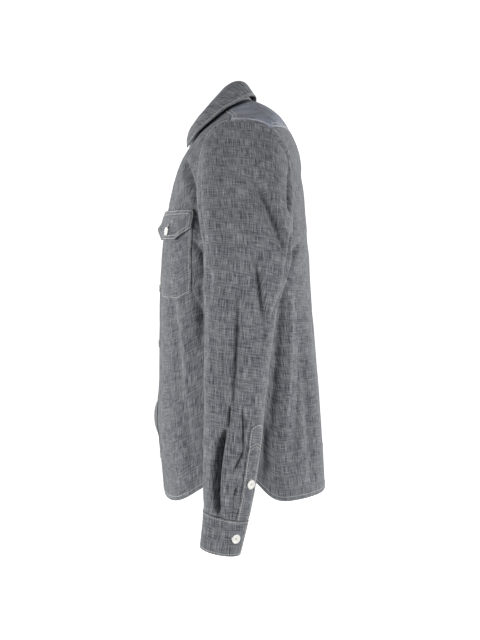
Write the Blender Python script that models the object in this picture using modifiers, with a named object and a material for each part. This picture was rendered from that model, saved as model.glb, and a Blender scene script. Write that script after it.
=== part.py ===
"""A chambray shirt jacket, filled out and hollow as it hangs on a wearer.

Metres, +Z up. The front faces -Y and the wearer's left arm is at +X. The origin lies midway
between the shoulders, level with the back of the neck seam.

Every body panel is a patch of one surface, read by two coordinates: turn is the angle round the
body, 0 at the centre front and a quarter turn at the wearer's left side, and run is the way from
the neck seam over the shoulder and down to the hem. Sleeves are read the same way by around and
down. Pieces that lie on a panel are that panel's points moved out.
"""
import math

import bmesh
import bpy
import numpy as np

GARMENT = "shirt_jacket"

# Walls and gaps
CLOTH = 0.0015          # wall of a body panel
TRIM = 0.0012           # wall of a band, pocket, flap or gauntlet
SEAM = 0.0003           # gap between two pieces that are sewn edge to edge
LAID = 0.0005           # gap under a piece that lies on a panel
LAP = CLOTH + SEAM      # from the middle of one layer to the next at a lap

# Body
ROUNDING = 0.87         # power on sine and cosine: below 1 squares a section off
BODY_SECTION = ("name", "run", "half", "front_y", "side_y", "back_y",
                "front_z", "side_z", "back_z", "crest")
BODY_SECTIONS = (
    ("neck seam", 0.000, 0.068, -0.090, -0.018, 0.022, -0.086, -0.024, 0.000, 0.92),
    ("neck slope", 0.060, 0.121, -0.100, -0.002, 0.051, -0.112, -0.048, -0.016, 1.15),
    ("shoulder", 0.115, 0.172, -0.110, 0.000, 0.077, -0.140, -0.062, -0.042, 1.60),
    ("shoulder point", 0.155, 0.203, -0.117, 0.000, 0.092, -0.160, -0.077, -0.070, 2.00),
    ("upper armhole", 0.215, 0.208, -0.126, 0.002, 0.105, -0.193, -0.128, -0.105, 2.00),
    ("chest", 0.285, 0.205, -0.1345, 0.003, 0.114, -0.238, -0.195, -0.180, 2.00),
    ("underarm", 0.360, 0.199, -0.139, 0.003, 0.1215, -0.288, -0.270, -0.265, 2.00),
    ("midriff", 0.460, 0.193, -0.143, 0.003, 0.129, -0.370, -0.370, -0.370, 2.00),
    ("waist", 0.560, 0.190, -0.144, 0.003, 0.138, -0.470, -0.470, -0.470, 2.00),
    ("hip", 0.660, 0.194, -0.1465, 0.003, 0.146, -0.570, -0.570, -0.570, 2.00),
    ("hem line", 0.800, 0.200, -0.131, 0.003, 0.154, -0.710, -0.710, -0.710, 2.00),
)
HEM_FRONT = 0.787       # run of the shirt-tail hem at the centre front
HEM_BACK = 0.774
HEM_SIDE = 0.730
HEM_FRONT_POWER = 5.5   # power on the sine: how narrow the rise to the side seam is
HEM_BACK_POWER = 44
HEM_STARTS = 0.56       # run at which the rows begin to follow the hem

# Armhole, as an oval in turn and run
ARMHOLE_TOP = 0.155
ARMHOLE_FOOT = 0.352
ARMHOLE_FRONT = math.radians(28)
ARMHOLE_BACK = math.radians(44)
ARMHOLE_FULLNESS = 2.1
ARMHOLE_SCYE = 1.33     # power that puts the front's deepest place above the middle
QUARTER = math.pi / 2
FRONT_SHOULDER_SEAM = math.radians(85)
YOKE_CORNER = math.radians(116)
YOKE_CENTRE_RUN = 0.155

# Rows and columns of the panels
FRONT_NECK_ROWS = 6
FRONT_ARMHOLE_ROWS = 11
BACK_ARMHOLE_ROWS = 9
LOWER_ROWS = 12
FRONT_COLUMNS = 11
BACK_COLUMNS = 24
YOKE_ARMHOLE_COLUMNS = 4
YOKE_BACK_COLUMNS = 16
YOKE_ROWS = 6

# Front opening
BAND_HALF = 0.0165      # half the width of the buttonhole band
BAND_BELOW_NECK = 0.0015
LAP_FADES = 0.045       # how far from the centre front the under layer comes up to the surface
BUTTON_GAP = 0.10025
TOP_BUTTON_Z = -0.135
FRONT_BUTTONS = 6

# Sleeve
ARM_SECTION = ("name", "z", "x", "y", "half_x", "half_y", "tilt")
ARM_SECTIONS = (
    ("upper arm", -0.300, 0.2555, 0.0115, 0.0510, 0.0680, 0.00),
    ("biceps", -0.340, 0.2565, 0.0068, 0.0500, 0.0614, 0.00),
    ("above elbow", -0.380, 0.2570, 0.0010, 0.0490, 0.0545, 0.02),
    ("elbow", -0.430, 0.2570, -0.0030, 0.0480, 0.0510, 0.05),
    ("forearm", -0.500, 0.2560, -0.0075, 0.0460, 0.0460, 0.08),
    ("placket top", -0.560, 0.2540, -0.0110, 0.0440, 0.0430, 0.11),
    ("placket", -0.620, 0.2520, -0.0150, 0.0420, 0.0402, 0.15),
    ("above cuff", -0.662, 0.2505, -0.0188, 0.0395, 0.0378, 0.18),
    ("cuff seam", -0.688, 0.2500, -0.0212, 0.0352, 0.0340, 0.20),
    ("cuff edge", -0.742, 0.2500, -0.0300, 0.0345, 0.0300, 0.17),
)
CAP_DOWN = 0.20         # down coordinate at the upper arm section
CUFF_DOWN = CAP_DOWN + 0.388
CUFF_LENGTH = 0.054
CAP_OUT = (0.71, -0.09)     # direction in which the sleeve leaves the armhole: at the sides,
CAP_DROP = (-0.64, -0.14)   # and what the shoulder adds to it and the underarm takes away
CAP_SPREAD = 0.25
CAP_FULLNESS = 0.75
CAP_ROWS = 9
ARM_ROWS = 15

# Cuff and gauntlet, in degrees round the arm: 0 is outermost, 90 is at the back
CUFF_END = 78
CUFF_LAP = 52
CUFF_COLUMNS = 26
CUFF_BUTTON_AROUND = 33
GAUNTLET_HALF = 18      # half the gauntlet's width
GAUNTLET_TOP = 53       # its middle at its top, and at the cuff, because the sleeve is twisted
GAUNTLET_FOOT = 43
GAUNTLET_DOWN = 0.443
GAUNTLET_POINT = 0.007
GAUNTLET_BUTTON_DOWN = 0.532

# Collar
STAND_TOP = (0.056, -0.085, -0.026, 0.002, -0.056, 0.008, 0.029, 0.87)
LEAF_EDGE = (0.088, -0.105, -0.016, 0.030, -0.0985, -0.026, 0.006, 1.00)
LEAF_FOLD_FROM = 4
LEAF_POINT_FROM = 30
LEAF_ROLL = 0.009
LEAF_STANDS_OFF = 0.012

# Pocket and flap, by distance round the chest from the centre front, and by height
POCKET_INNER = 0.071
POCKET_OUTER = 0.196
POCKET_TOP = -0.220
POCKET_FOOT = -0.355
POCKET_CORNER = 0.032
POCKET_CORNER_RISE = 0.014
POCKET_TILT = 0.008     # how much lower the pocket and its flap hang at the outer side
FLAP_TOP = -0.2075
FLAP_FOOT = -0.256
FLAP_BEYOND = 0.001     # how far the flap reaches past the pocket on each side
FLAP_CORNER = 0.036
FLAP_CORNER_RISE = 0.019
FLAP_LIFT = 0.008
POCKET_RUN = 0.32

BUTTON_RADIUS = 0.007
BUTTON_HEIGHT = 0.0026

# Folds of the body: a trough from one place to another, turn in degrees and the rest in metres.
# A depth below nought is a ridge.
BODY_FOLD = ("name", "from_turn", "from_run", "to_turn", "to_run", "depth", "width")
BODY_FOLDS = (
    ("left armhole front", 66.5, 0.30, 67, 0.42, 0.005, 0.009),
    ("left front drag", 38, 0.42, 52, 0.62, 0.004, 0.020),
    ("left back drag", 128, 0.34, 118, 0.50, 0.007, 0.018),
    ("left back hang", 132, 0.50, 138, 0.74, 0.006, 0.022),
    ("left back ridge", 148, 0.46, 152, 0.76, -0.004, 0.024),
    ("centre back hang", 178, 0.40, 174, 0.70, 0.004, 0.030),
    ("right back ridge", 210, 0.44, 207, 0.76, -0.004, 0.024),
    ("right back hang", 229, 0.48, 223, 0.75, 0.006, 0.022),
    ("right back drag", 233, 0.35, 243, 0.52, 0.007, 0.018),
    ("right front drag", 321, 0.44, 309, 0.64, 0.004, 0.020),
    ("right armhole front", 297, 0.28, 295, 0.43, 0.005, 0.010),
)
# Between two lower buttons the edge of the left front and its band springs forward.
BAND_SPRING = (
    ("band edge", -3.6, 0.660, -3.6, 0.674, -0.0115, 0.010),
)
# Folds of a sleeve: from and to are degrees around and metres down.
SLEEVE_FOLD = ("name", "from_around", "from_down", "to_around", "to_down", "depth", "width")
SLEEVE_FOLDS = (
    ("cuff pleat", 340, 0.468, 338, 0.592, 0.0170, 0.0085),
    ("pleat lip", 322, 0.480, 320, 0.585, -0.0030, 0.0100),
    ("behind the shoulder", 48, 0.110, 62, 0.175, 0.0060, 0.0150),
    ("elbow back upper", 84, 0.185, 62, 0.250, 0.0070, 0.0140),
    ("elbow back", 46, 0.200, 34, 0.290, 0.0060, 0.0140),
    ("forearm", 350, 0.250, 352, 0.430, 0.0045, 0.0130),
    ("front of the arm", 285, 0.080, 276, 0.160, 0.0060, 0.0150),
    ("front of the elbow", 300, 0.220, 306, 0.330, 0.0040, 0.0140),
    ("inner elbow", 200, 0.250, 150, 0.300, 0.0040, 0.0150),
    ("beside the gauntlet", 16, 0.425, 12, 0.560, 0.0040, 0.0090),
)
RIGHT_SLEEVE_FOLDS = (
    ("cuff pleat", 338, 0.476, 337, 0.592, 0.0160, 0.0085),
    ("pleat lip", 320, 0.486, 321, 0.585, -0.0030, 0.0100),
    ("behind the shoulder", 52, 0.100, 60, 0.185, 0.0060, 0.0150),
    ("elbow back upper", 80, 0.195, 66, 0.265, 0.0070, 0.0140),
    ("elbow back", 42, 0.215, 38, 0.300, 0.0055, 0.0140),
    ("forearm", 356, 0.240, 346, 0.420, 0.0045, 0.0130),
    ("front of the arm", 282, 0.090, 279, 0.170, 0.0060, 0.0150),
    ("front of the elbow", 296, 0.235, 308, 0.320, 0.0045, 0.0140),
    ("inner elbow", 192, 0.260, 156, 0.290, 0.0040, 0.0150),
    ("beside the gauntlet", 17, 0.435, 11, 0.555, 0.0040, 0.0090),
)
BODY_RADIUS = 0.16      # metres for each radian of turn, for the width of a fold
ARM_RADIUS = 0.047

STEP = 1e-4             # step of the finite differences that give a surface's normal

COLOURS = {
    "chambray": (0.135, 0.155, 0.185, 1.0),
    "cross_chambray": (0.130, 0.160, 0.215, 1.0),
    "button": (0.80, 0.79, 0.75, 1.0),
}
ROUGHNESS = {"chambray": 0.9, "cross_chambray": 0.9, "button": 0.35}


# ---------------------------------------------------------------- curves and surfaces

def columns(table, names):
    """A table's columns after the first, each as an array."""
    return {name: np.array([row[i] for row in table], float)
            for i, name in enumerate(names) if i > 0}


BODY = columns(BODY_SECTIONS, BODY_SECTION)
ARM = columns(ARM_SECTIONS, ARM_SECTION)


def smooth_through(knots, values, at):
    """A cubic through each value at its knot, with the slope of its neighbours there."""
    slopes = np.gradient(values, knots)
    at = np.clip(at, knots[0], knots[-1])
    below = np.clip(np.searchsorted(knots, at, side="right") - 1, 0, len(knots) - 2)
    span = knots[below + 1] - knots[below]
    part = (at - knots[below]) / span
    return ((1 + 2 * part) * (1 - part) ** 2 * values[below]
            + part * (1 - part) ** 2 * span * slopes[below]
            + part ** 2 * (3 - 2 * part) * values[below + 1]
            + part ** 2 * (part - 1) * span * slopes[below + 1])


def ease(value, start, end):
    """0 before start, 1 after end, and smooth between them."""
    part = np.clip((value - start) / (end - start), 0, 1)
    return part * part * (3 - 2 * part)


def section(turn, half, front_y, side_y, back_y, front_z, side_z, back_z, crest):
    """A closed section: a squared oval in x and y, whose height goes from side to centre
    as the power crest of the cosine."""
    turn = np.asarray(turn, float)
    sine = np.sin(turn)
    ahead = np.clip(np.cos(turn), 0, 1)
    behind = np.clip(-np.cos(turn), 0, 1)
    x = half * np.sign(sine) * np.abs(sine) ** ROUNDING
    y = side_y + (front_y - side_y) * ahead ** ROUNDING + (back_y - side_y) * behind ** ROUNDING
    z = side_z + (front_z - side_z) * ahead ** crest + (back_z - side_z) * behind ** crest
    return np.stack([x, y, z], -1)


def body_point(turn, run):
    """The body's surface, through its sections."""
    turn, run = np.broadcast_arrays(np.asarray(turn, float), np.asarray(run, float))
    sizes = [smooth_through(BODY["run"], BODY[name], run) for name in BODY_SECTION[2:]]
    return section(turn, *sizes)


def normal_of(surface, first, second):
    """The outward normal of a surface read by an angle and a way down."""
    down = surface(first, second + STEP) - surface(first, second - STEP)
    across = surface(first + STEP, second) - surface(first - STEP, second)
    normal = np.cross(down, across)
    return normal / np.linalg.norm(normal, axis=-1, keepdims=True)


def folded(angle, way, folds, radius):
    """How far the cloth stands in or out: each fold is a soft trough along a straight line in
    the unrolled cloth, deepest at its middle."""
    total = np.zeros(np.broadcast(angle, way).shape)
    for _, from_angle, from_way, to_angle, to_way, depth, width in folds:
        start = np.array([math.radians(from_angle) * radius, from_way])
        line = np.array([math.radians(to_angle) * radius, to_way]) - start
        across = angle * radius - start[0]
        along = way - start[1]
        part = np.clip((across * line[0] + along * line[1]) / line.dot(line), 0, 1)
        off = np.hypot(across - part * line[0], along - part * line[1])
        fade = 0.35 + 0.65 * np.sin(math.pi * part)
        total -= depth * fade * np.exp(-(off / width) ** 2)
    return total


def body_surface(turn, run, out=0.0):
    """The body with its folds, moved out along its normal."""
    turn, run = np.broadcast_arrays(np.asarray(turn, float), np.asarray(run, float))
    relief = folded(np.mod(turn, 2 * math.pi), run, BODY_FOLDS, BODY_RADIUS)
    shift = relief * ease(run, 0.0, 0.10) + out
    return body_point(turn, run) + normal_of(body_point, turn, run) * shift[..., None]


def turn_at_x(x, run):
    """The turn, near the centre front, at which the body lies x to the side."""
    half = smooth_through(BODY["run"], BODY["half"], run)
    return np.sign(x) * np.arcsin((np.abs(x) / half) ** (1 / ROUNDING))


def off_side(distance, run):
    """The turn that a short distance takes up beside the side seam."""
    depth = smooth_through(BODY["run"], BODY["side_y"] - BODY["front_y"], run)
    return (distance / depth) ** (1 / ROUNDING)


def beside_shoulder_seam(run):
    """The turn that half a seam's gap takes up beside the front shoulder seam."""
    return SEAM / 2 / smooth_through(BODY["run"], BODY["side_y"] - BODY["front_y"], run)


def armhole(angle):
    """The armhole as turn and run: angle 0 is at the shoulder point and a half turn is under
    the arm, by way of the back."""
    across = (1 - np.abs(np.cos(angle)) ** ARMHOLE_FULLNESS) ** (1 / ARMHOLE_FULLNESS)
    reach = np.where(np.sin(angle) > 0, ARMHOLE_BACK, ARMHOLE_FRONT)
    turn = QUARTER + np.sign(np.sin(angle)) * reach * across
    lowered = ((1 - np.cos(angle)) / 2) ** np.where(np.sin(angle) > 0, 1.0, ARMHOLE_SCYE)
    return turn, ARMHOLE_TOP + (ARMHOLE_FOOT - ARMHOLE_TOP) * lowered


def armhole_angle(turn):
    """The angle on the upper half of the armhole at which it crosses a turn."""
    reach = ARMHOLE_BACK if turn > QUARTER else ARMHOLE_FRONT
    across = abs(turn - QUARTER) / reach
    return math.acos((1 - across ** ARMHOLE_FULLNESS) ** (1 / ARMHOLE_FULLNESS))


FRONT_CORNER = armhole_angle(FRONT_SHOULDER_SEAM)
BACK_CORNER = armhole_angle(YOKE_CORNER)
FRONT_CORNER_RUN = float(armhole(np.array(-FRONT_CORNER))[1])
BACK_CORNER_RUN = float(armhole(np.array(BACK_CORNER))[1])


def hem_run(turn):
    """The run of the shirt-tail hem: lowest in the middle and raised at the side seams."""
    ahead = np.cos(turn) > 0
    middle = np.where(ahead, HEM_FRONT, HEM_BACK)
    power = np.where(ahead, HEM_FRONT_POWER, HEM_BACK_POWER)
    return middle + (HEM_SIDE - middle) * np.abs(np.sin(turn)) ** power


def back_seam_run(turn):
    """The run of the seam between yoke and back, which drops towards the armholes."""
    share = (math.pi - turn) / (math.pi - YOKE_CORNER)
    return YOKE_CENTRE_RUN + (BACK_CORNER_RUN - YOKE_CENTRE_RUN) * share ** 2


# ---------------------------------------------------------------- meshes

def material(name):
    """The part's own Principled material."""
    made = bpy.data.materials.get(name)
    if made is None:
        made = bpy.data.materials.new(name)
        made.use_nodes = True
        shader = made.node_tree.nodes["Principled BSDF"]
        shader.inputs["Base Color"].default_value = COLOURS[name]
        shader.inputs["Roughness"].default_value = ROUGHNESS[name]
        shader.inputs["Metallic"].default_value = 0.0
    return made


def make_object(name, vertices, faces, slot):
    """A mesh object in the garment's collection."""
    mesh = bpy.data.meshes.new(name)
    mesh.from_pydata([tuple(v) for v in vertices], [], faces)
    mesh.update()
    mesh.materials.append(material(slot))
    made = bpy.data.objects.new(name, mesh)
    bpy.data.collections[GARMENT].objects.link(made)
    return made


def sheet(name, points, wall, slot="chambray", closed=False):
    """A cloth wall on a grid of points, rows by columns, with the points at mid wall. A closed
    sheet joins its last column to its first."""
    rows, cols = points.shape[:2]
    last = cols if closed else cols - 1
    faces = [(r * cols + c, (r + 1) * cols + c,
              (r + 1) * cols + (c + 1) % cols, r * cols + (c + 1) % cols)
             for r in range(rows - 1) for c in range(last)]
    made = make_object(name, points.reshape(-1, 3), faces, slot)
    made.data.shade_smooth()
    solid = made.modifiers.new("wall", "SOLIDIFY")
    solid.thickness = wall
    solid.offset = 0.0
    return made


def mirrored(points):
    """The same points on the wearer's other side."""
    return points * np.array([-1.0, 1.0, 1.0])


# ---------------------------------------------------------------- body panels

def lower_runs():
    """Runs of the rows at the side seam, from under the arm to the hem."""
    return np.linspace(ARMHOLE_FOOT, float(hem_run(QUARTER)), LOWER_ROWS + 1)


def front_edge():
    """Turn and run of the front panel's outer edge: shoulder seam, armhole, side seam."""
    shoulder = np.linspace(0, FRONT_CORNER_RUN, FRONT_NECK_ROWS + 1)
    angles = np.linspace(2 * math.pi - FRONT_CORNER, math.pi, FRONT_ARMHOLE_ROWS + 1)
    hole_turn, hole_run = armhole(angles[1:])
    side = lower_runs()[1:]
    turn = np.concatenate([np.full(len(shoulder), FRONT_SHOULDER_SEAM), hole_turn,
                           np.full(len(side), QUARTER)])
    run = np.concatenate([shoulder, hole_run, side])
    inset = np.where(run > ARMHOLE_FOOT - STEP, off_side(SEAM / 2, run), 0.0)
    inset = np.where(run < FRONT_CORNER_RUN + STEP, beside_shoulder_seam(run), inset)
    return turn - inset, run


def front_grid():
    """Turn and run of a front panel's points. The first columns are the buttonhole band's."""
    edge_turn, edge_run = front_edge()
    rows = edge_run[:, None]
    band = turn_at_x(np.linspace(-BAND_HALF, BAND_HALF, 4)[None, :], rows)
    share = np.linspace(0, 1, FRONT_COLUMNS + 1)[None, 1:]
    rest = band[:, -1:] + (edge_turn[:, None] - band[:, -1:]) * share
    turn = np.concatenate([band, rest], 1)
    follow = ease(rows, HEM_STARTS, edge_run[-1])
    drop = hem_run(turn) - hem_run(edge_turn[:, None])
    return turn, rows + drop * follow


def sprung(turn, run):
    """How far the left front's edge springs forward."""
    return folded(turn, run, BAND_SPRING, BODY_RADIUS)


def build_fronts():
    """The left front, and the right front whose edge lies one layer under it."""
    turn, run = front_grid()
    sheet("front_left", body_surface(turn, run, sprung(turn, run)), CLOTH)
    x = body_point(turn, run)[..., 0]
    under = -LAP * (1 - ease(x, BAND_HALF, BAND_HALF + LAP_FADES))
    sheet("front_right", body_surface(-turn, run, under), CLOTH)


def build_band():
    """The buttonhole band: the left front's first columns, moved out."""
    turn, run = front_grid()
    turn, run = turn[:, :4], run[:, :4].copy()
    run[0] += BAND_BELOW_NECK
    out = CLOTH / 2 + SEAM + TRIM / 2 + sprung(turn, run)
    sheet("placket_left", body_surface(turn, run, out), TRIM)


def build_back():
    """The back, from the yoke seam and the armholes down to the hem."""
    angles = np.linspace(BACK_CORNER, math.pi, BACK_ARMHOLE_ROWS + 1)
    hole_turn, hole_run = armhole(angles)
    side = lower_runs()[1:]
    edge_turn = np.concatenate([hole_turn, np.full(len(side), QUARTER)])
    edge_run = np.concatenate([hole_run, side])
    on_seam = edge_run > ARMHOLE_FOOT - STEP
    edge_turn = edge_turn + np.where(on_seam, off_side(SEAM / 2, edge_run), 0.0)
    share = np.linspace(-1, 1, BACK_COLUMNS + 1)[None, :]
    turn = math.pi + share * (math.pi - edge_turn[:, None])
    rows = edge_run[:, None]
    top = back_seam_run(math.pi - np.abs(share) * (math.pi - YOKE_CORNER)) - BACK_CORNER_RUN
    foot = hem_run(math.pi - np.abs(share) * QUARTER) - hem_run(QUARTER)
    run = rows + 1.5 * SEAM * (1 - ease(rows, BACK_CORNER_RUN, 0.30))
    run = run + top * (1 - ease(rows, BACK_CORNER_RUN, ARMHOLE_FOOT))
    run = run + foot * ease(rows, HEM_STARTS, edge_run[-1])
    sheet("back", body_surface(turn, run), CLOTH)


def yoke_outline():
    """Turn and outer run of the yoke's columns, from one shoulder seam round to the other."""
    angles = np.linspace(-FRONT_CORNER, BACK_CORNER, YOKE_ARMHOLE_COLUMNS + 1)
    hole_turn, hole_run = armhole(angles)
    hole_run[-1] -= SEAM
    half = YOKE_BACK_COLUMNS // 2
    back_turn = np.linspace(YOKE_CORNER, math.pi, half + 1)[1:]
    turn = np.concatenate([hole_turn, back_turn])
    run = np.concatenate([hole_run, back_seam_run(back_turn) - SEAM])
    turn = np.concatenate([turn, 2 * math.pi - turn[-2::-1]])
    return turn, np.concatenate([run, run[-2::-1]])


def build_yoke():
    """The yoke over both shoulders."""
    turn, outer = yoke_outline()
    run = np.linspace(0, 1, YOKE_ROWS + 1)[:, None] * outer[None, :]
    turn = np.repeat(turn[None, :], YOKE_ROWS + 1, 0)
    turn[:, 0] += beside_shoulder_seam(run[:, 0])
    turn[:, -1] -= beside_shoulder_seam(run[:, -1])
    sheet("yoke", body_surface(turn, run), CLOTH, "cross_chambray")


# ---------------------------------------------------------------- sleeves

def arm_section(around, down):
    """A squared oval across the arm, tilted so that its front stands higher."""
    z = -0.300 - (down - CAP_DOWN)
    knots = -ARM["z"]
    x, y, half_x, half_y, tilt = (smooth_through(knots, ARM[name], -z)
                                  for name in ARM_SECTION[2:])
    cosine, sine = np.cos(around), np.sin(around)
    across = half_y * np.sign(sine) * np.abs(sine) ** 0.95
    out = half_x * np.sign(cosine) * np.abs(cosine) ** 0.95
    return np.stack([x + out, y + across, z - tilt * across], -1)


def armhole_frame(angle):
    """A point of the armhole seam and, there, the direction into the hole."""
    turn, run = armhole(angle)
    before, after = body_point(*armhole(angle - STEP)), body_point(*armhole(angle + STEP))
    along = after - before
    inward = np.cross(along, normal_of(body_point, turn, run))
    return body_surface(turn, run), inward / np.linalg.norm(inward, axis=-1, keepdims=True)


def clear_of_edge(inward, leaving):
    """How far a sewn-on wall starts from the edge that it leaves, for the angle between them."""
    cosine = np.sum(inward * leaving, -1)
    return SEAM + CLOTH * np.sqrt(np.clip((1 - cosine) / 2, 0, 1))


def sleeve_point(around, down):
    """A sleeve's surface: from the armhole seam a smooth cap to the upper arm, then the arm's
    sections."""
    around, down = np.broadcast_arrays(np.asarray(around, float), np.asarray(down, float))
    part = np.clip(down / CAP_DOWN, 0, 1)[..., None]
    start, inward = armhole_frame(around)
    end = arm_section(around, np.maximum(down, CAP_DOWN))
    above = np.cos(around)
    leaving = np.stack([CAP_OUT[0] + CAP_OUT[1] * above, CAP_SPREAD * np.sin(around),
                        CAP_DROP[0] + CAP_DROP[1] * above], -1)
    leaving = leaving / np.linalg.norm(leaving, axis=-1, keepdims=True)
    start = start + inward * clear_of_edge(inward, leaving)[..., None]
    reach = CAP_FULLNESS * np.linalg.norm(end - start, axis=-1, keepdims=True)
    falling = np.array([0.0, 0.0, -1.0])
    cap = ((1 + 2 * part) * (1 - part) ** 2 * start
           + part * (1 - part) ** 2 * reach * leaving
           + part ** 2 * (3 - 2 * part) * end
           + part ** 2 * (part - 1) * reach * falling)
    return np.where(down[..., None] < CAP_DOWN, cap, end)


def sleeve_surface(around, down, folds, out=0.0):
    """The sleeve with its folds, which fade out towards the armhole seam."""
    around, down = np.broadcast_arrays(np.asarray(around, float), np.asarray(down, float))
    relief = folded(np.mod(around, 2 * math.pi), down, folds, ARM_RADIUS)
    relief *= ease(down, 0.0, 0.06) * (1 - 0.8 * ease(down, CUFF_DOWN - 0.012, CUFF_DOWN))
    shift = relief + out
    normal = normal_of(sleeve_point, around, np.maximum(down, 2 * STEP))
    return sleeve_point(around, down) + normal * shift[..., None]


def sleeve_angles():
    """Angles of the sleeve's columns: at the armhole they are the panels' own points."""
    yoke = np.linspace(-FRONT_CORNER, BACK_CORNER, YOKE_ARMHOLE_COLUMNS + 1)
    back = np.linspace(BACK_CORNER, math.pi, BACK_ARMHOLE_ROWS + 1)[1:]
    front = np.linspace(math.pi, 2 * math.pi - FRONT_CORNER, FRONT_ARMHOLE_ROWS + 1)[1:-1]
    return np.concatenate([yoke, back, front])


def build_sleeve(side, folds, place):
    """One sleeve, from its armhole seam to its cuff seam."""
    cap = CAP_DOWN * np.linspace(0, 1, CAP_ROWS + 1) ** 1.2
    arm = np.linspace(CAP_DOWN, CUFF_DOWN, ARM_ROWS + 1)[1:]
    down = np.concatenate([cap, arm])[:, None]
    points = sleeve_surface(sleeve_angles()[None, :], down, folds)
    sheet("sleeve_" + side, place(points), CLOTH, closed=True)


def cuff_point(around, down, out):
    """A cuff's surface, without folds."""
    around, down = np.broadcast_arrays(np.asarray(around, float), np.asarray(down, float))
    point = arm_section(around, down)
    centre = arm_section(around + math.pi, down)
    away = point - centre
    away = away / np.linalg.norm(away, axis=-1, keepdims=True)
    return point + away * np.broadcast_to(out, around.shape)[..., None]


def build_cuff(side, place):
    """A cuff: a band that laps over its own start and lies one layer further out there."""
    start = CUFF_END - CUFF_LAP
    degrees = np.linspace(start, CUFF_END + 360, CUFF_COLUMNS + 1)
    out = LAP * (ease(degrees, CUFF_END + 20, start + 345) - 0.5)
    down = CUFF_DOWN + 2 * SEAM + np.linspace(0, CUFF_LENGTH - 2 * SEAM, 4)
    points = cuff_point(np.radians(degrees)[None, :], down[:, None], out[None, :])
    sheet("cuff_" + side, place(points), CLOTH)


def gauntlet_middle(down):
    """Degrees round the arm at which the gauntlet's middle lies."""
    share = (down - GAUNTLET_DOWN) / (CUFF_DOWN - GAUNTLET_DOWN)
    return GAUNTLET_TOP + (GAUNTLET_FOOT - GAUNTLET_TOP) * share


def build_gauntlet(side, folds, place):
    """The placket over a sleeve's opening, with a pointed top."""
    share = np.linspace(-1, 1, 5)
    top = GAUNTLET_DOWN + GAUNTLET_POINT * np.abs(share) ** 1.5
    rows = np.linspace(0, 1, 9)[:, None]
    down = top[None, :] + rows * (CUFF_DOWN - SEAM - top[None, :])
    around = np.radians(gauntlet_middle(down) + GAUNTLET_HALF * share[None, :])
    out = CLOTH / 2 + LAID + TRIM / 2
    sheet("gauntlet_" + side, place(sleeve_surface(around, down, folds, out)), TRIM)


# ---------------------------------------------------------------- collar

def build_collar_stand():
    """The stand, from the neck seam up; its ends lap at the centre front, left over right."""
    lap_turn = float(turn_at_x(BAND_HALF, 0.0))
    fronts = front_grid()[0][0, 3:]
    yoke = yoke_outline()[0]
    half = np.concatenate([[-lap_turn, 0.0], fronts[:-1], yoke[yoke <= math.pi]])
    turn = np.concatenate([half, 2 * math.pi - half[-2::-1]])
    foot = body_surface(turn, 0.0)
    head = section(turn, *STAND_TOP)
    rise = head - foot
    rise = rise / np.linalg.norm(rise, axis=-1, keepdims=True)
    down = body_point(turn, STEP) - body_point(turn, 0.0)
    inward = -down / np.linalg.norm(down, axis=-1, keepdims=True)
    foot = foot + inward * clear_of_edge(inward, rise)[..., None]
    lap = LAP / 2 * (1 - ease(turn, 0.5, 1.1) - ease(turn, 2 * math.pi - 1.1, 2 * math.pi - 0.5))
    across = np.cross(rise, np.gradient(foot, axis=0))
    across = across / np.linalg.norm(across, axis=-1, keepdims=True)
    share = np.linspace(0, 1, 3)[:, None, None]
    points = foot[None] * (1 - share) + head[None] * share
    sheet("collar_stand", points - (across * lap[:, None])[None], CLOTH)


def leaf_point(share, fall):
    """The collar leaf: share goes from the left point round the neck to the right one, and fall
    from the fold to the edge. Each fall is a curve that leaves the stand upwards, rolls over
    and comes down to the edge."""
    share, fall = np.broadcast_arrays(np.asarray(share, float), np.asarray(fall, float))
    fold_from, point_from = math.radians(LEAF_FOLD_FROM), math.radians(LEAF_POINT_FROM)
    fold_turn = fold_from + (2 * math.pi - 2 * fold_from) * share
    edge_turn = point_from + (2 * math.pi - 2 * point_from) * share
    top = section(fold_turn, *STAND_TOP)
    edge = section(edge_turn, *LEAF_EDGE)
    rise = top - body_point(fold_turn, 0.0)
    rise = rise / np.linalg.norm(rise, axis=-1, keepdims=True)
    beyond = section(fold_turn + STEP, *STAND_TOP) - section(fold_turn - STEP, *STAND_TOP)
    away = np.cross(beyond, rise)
    away = away / np.linalg.norm(away, axis=-1, keepdims=True)
    start = top + rise * (CLOTH / 2 + SEAM)
    lift = start + rise * LEAF_ROLL
    over = start + rise * LEAF_ROLL * 0.7 + away * LEAF_STANDS_OFF
    fall = fall[..., None]
    return ((1 - fall) ** 3 * start + 3 * (1 - fall) ** 2 * fall * lift
            + 3 * (1 - fall) * fall ** 2 * over + fall ** 3 * edge)


def build_collar_leaf():
    """The turned-down collar."""
    share = np.linspace(0, 1, 31)[None, :]
    fall = np.linspace(0, 1, 8)[:, None] ** 1.4
    sheet("collar_leaf", leaf_point(share, fall), CLOTH)


# ---------------------------------------------------------------- pocket and flap

def chest_turn(distance):
    """The turn at a distance round the chest from the centre front, at the pocket's height."""
    turns = np.linspace(0, QUARTER, 200)
    points = body_point(turns, POCKET_RUN)
    steps = np.linalg.norm(np.diff(points, axis=0), axis=-1)
    return np.interp(distance, np.concatenate([[0], np.cumsum(steps)]), turns)


def chest_run(turn, z):
    """The run at which the chest has a height, for each turn."""
    runs = np.linspace(0.16, 0.56, 300)
    heights = body_point(turn[:, None], runs[None, :])[..., 2]
    return np.array([np.interp(-z[:, i], -heights[i], runs) for i in range(len(turn))]).T


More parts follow.
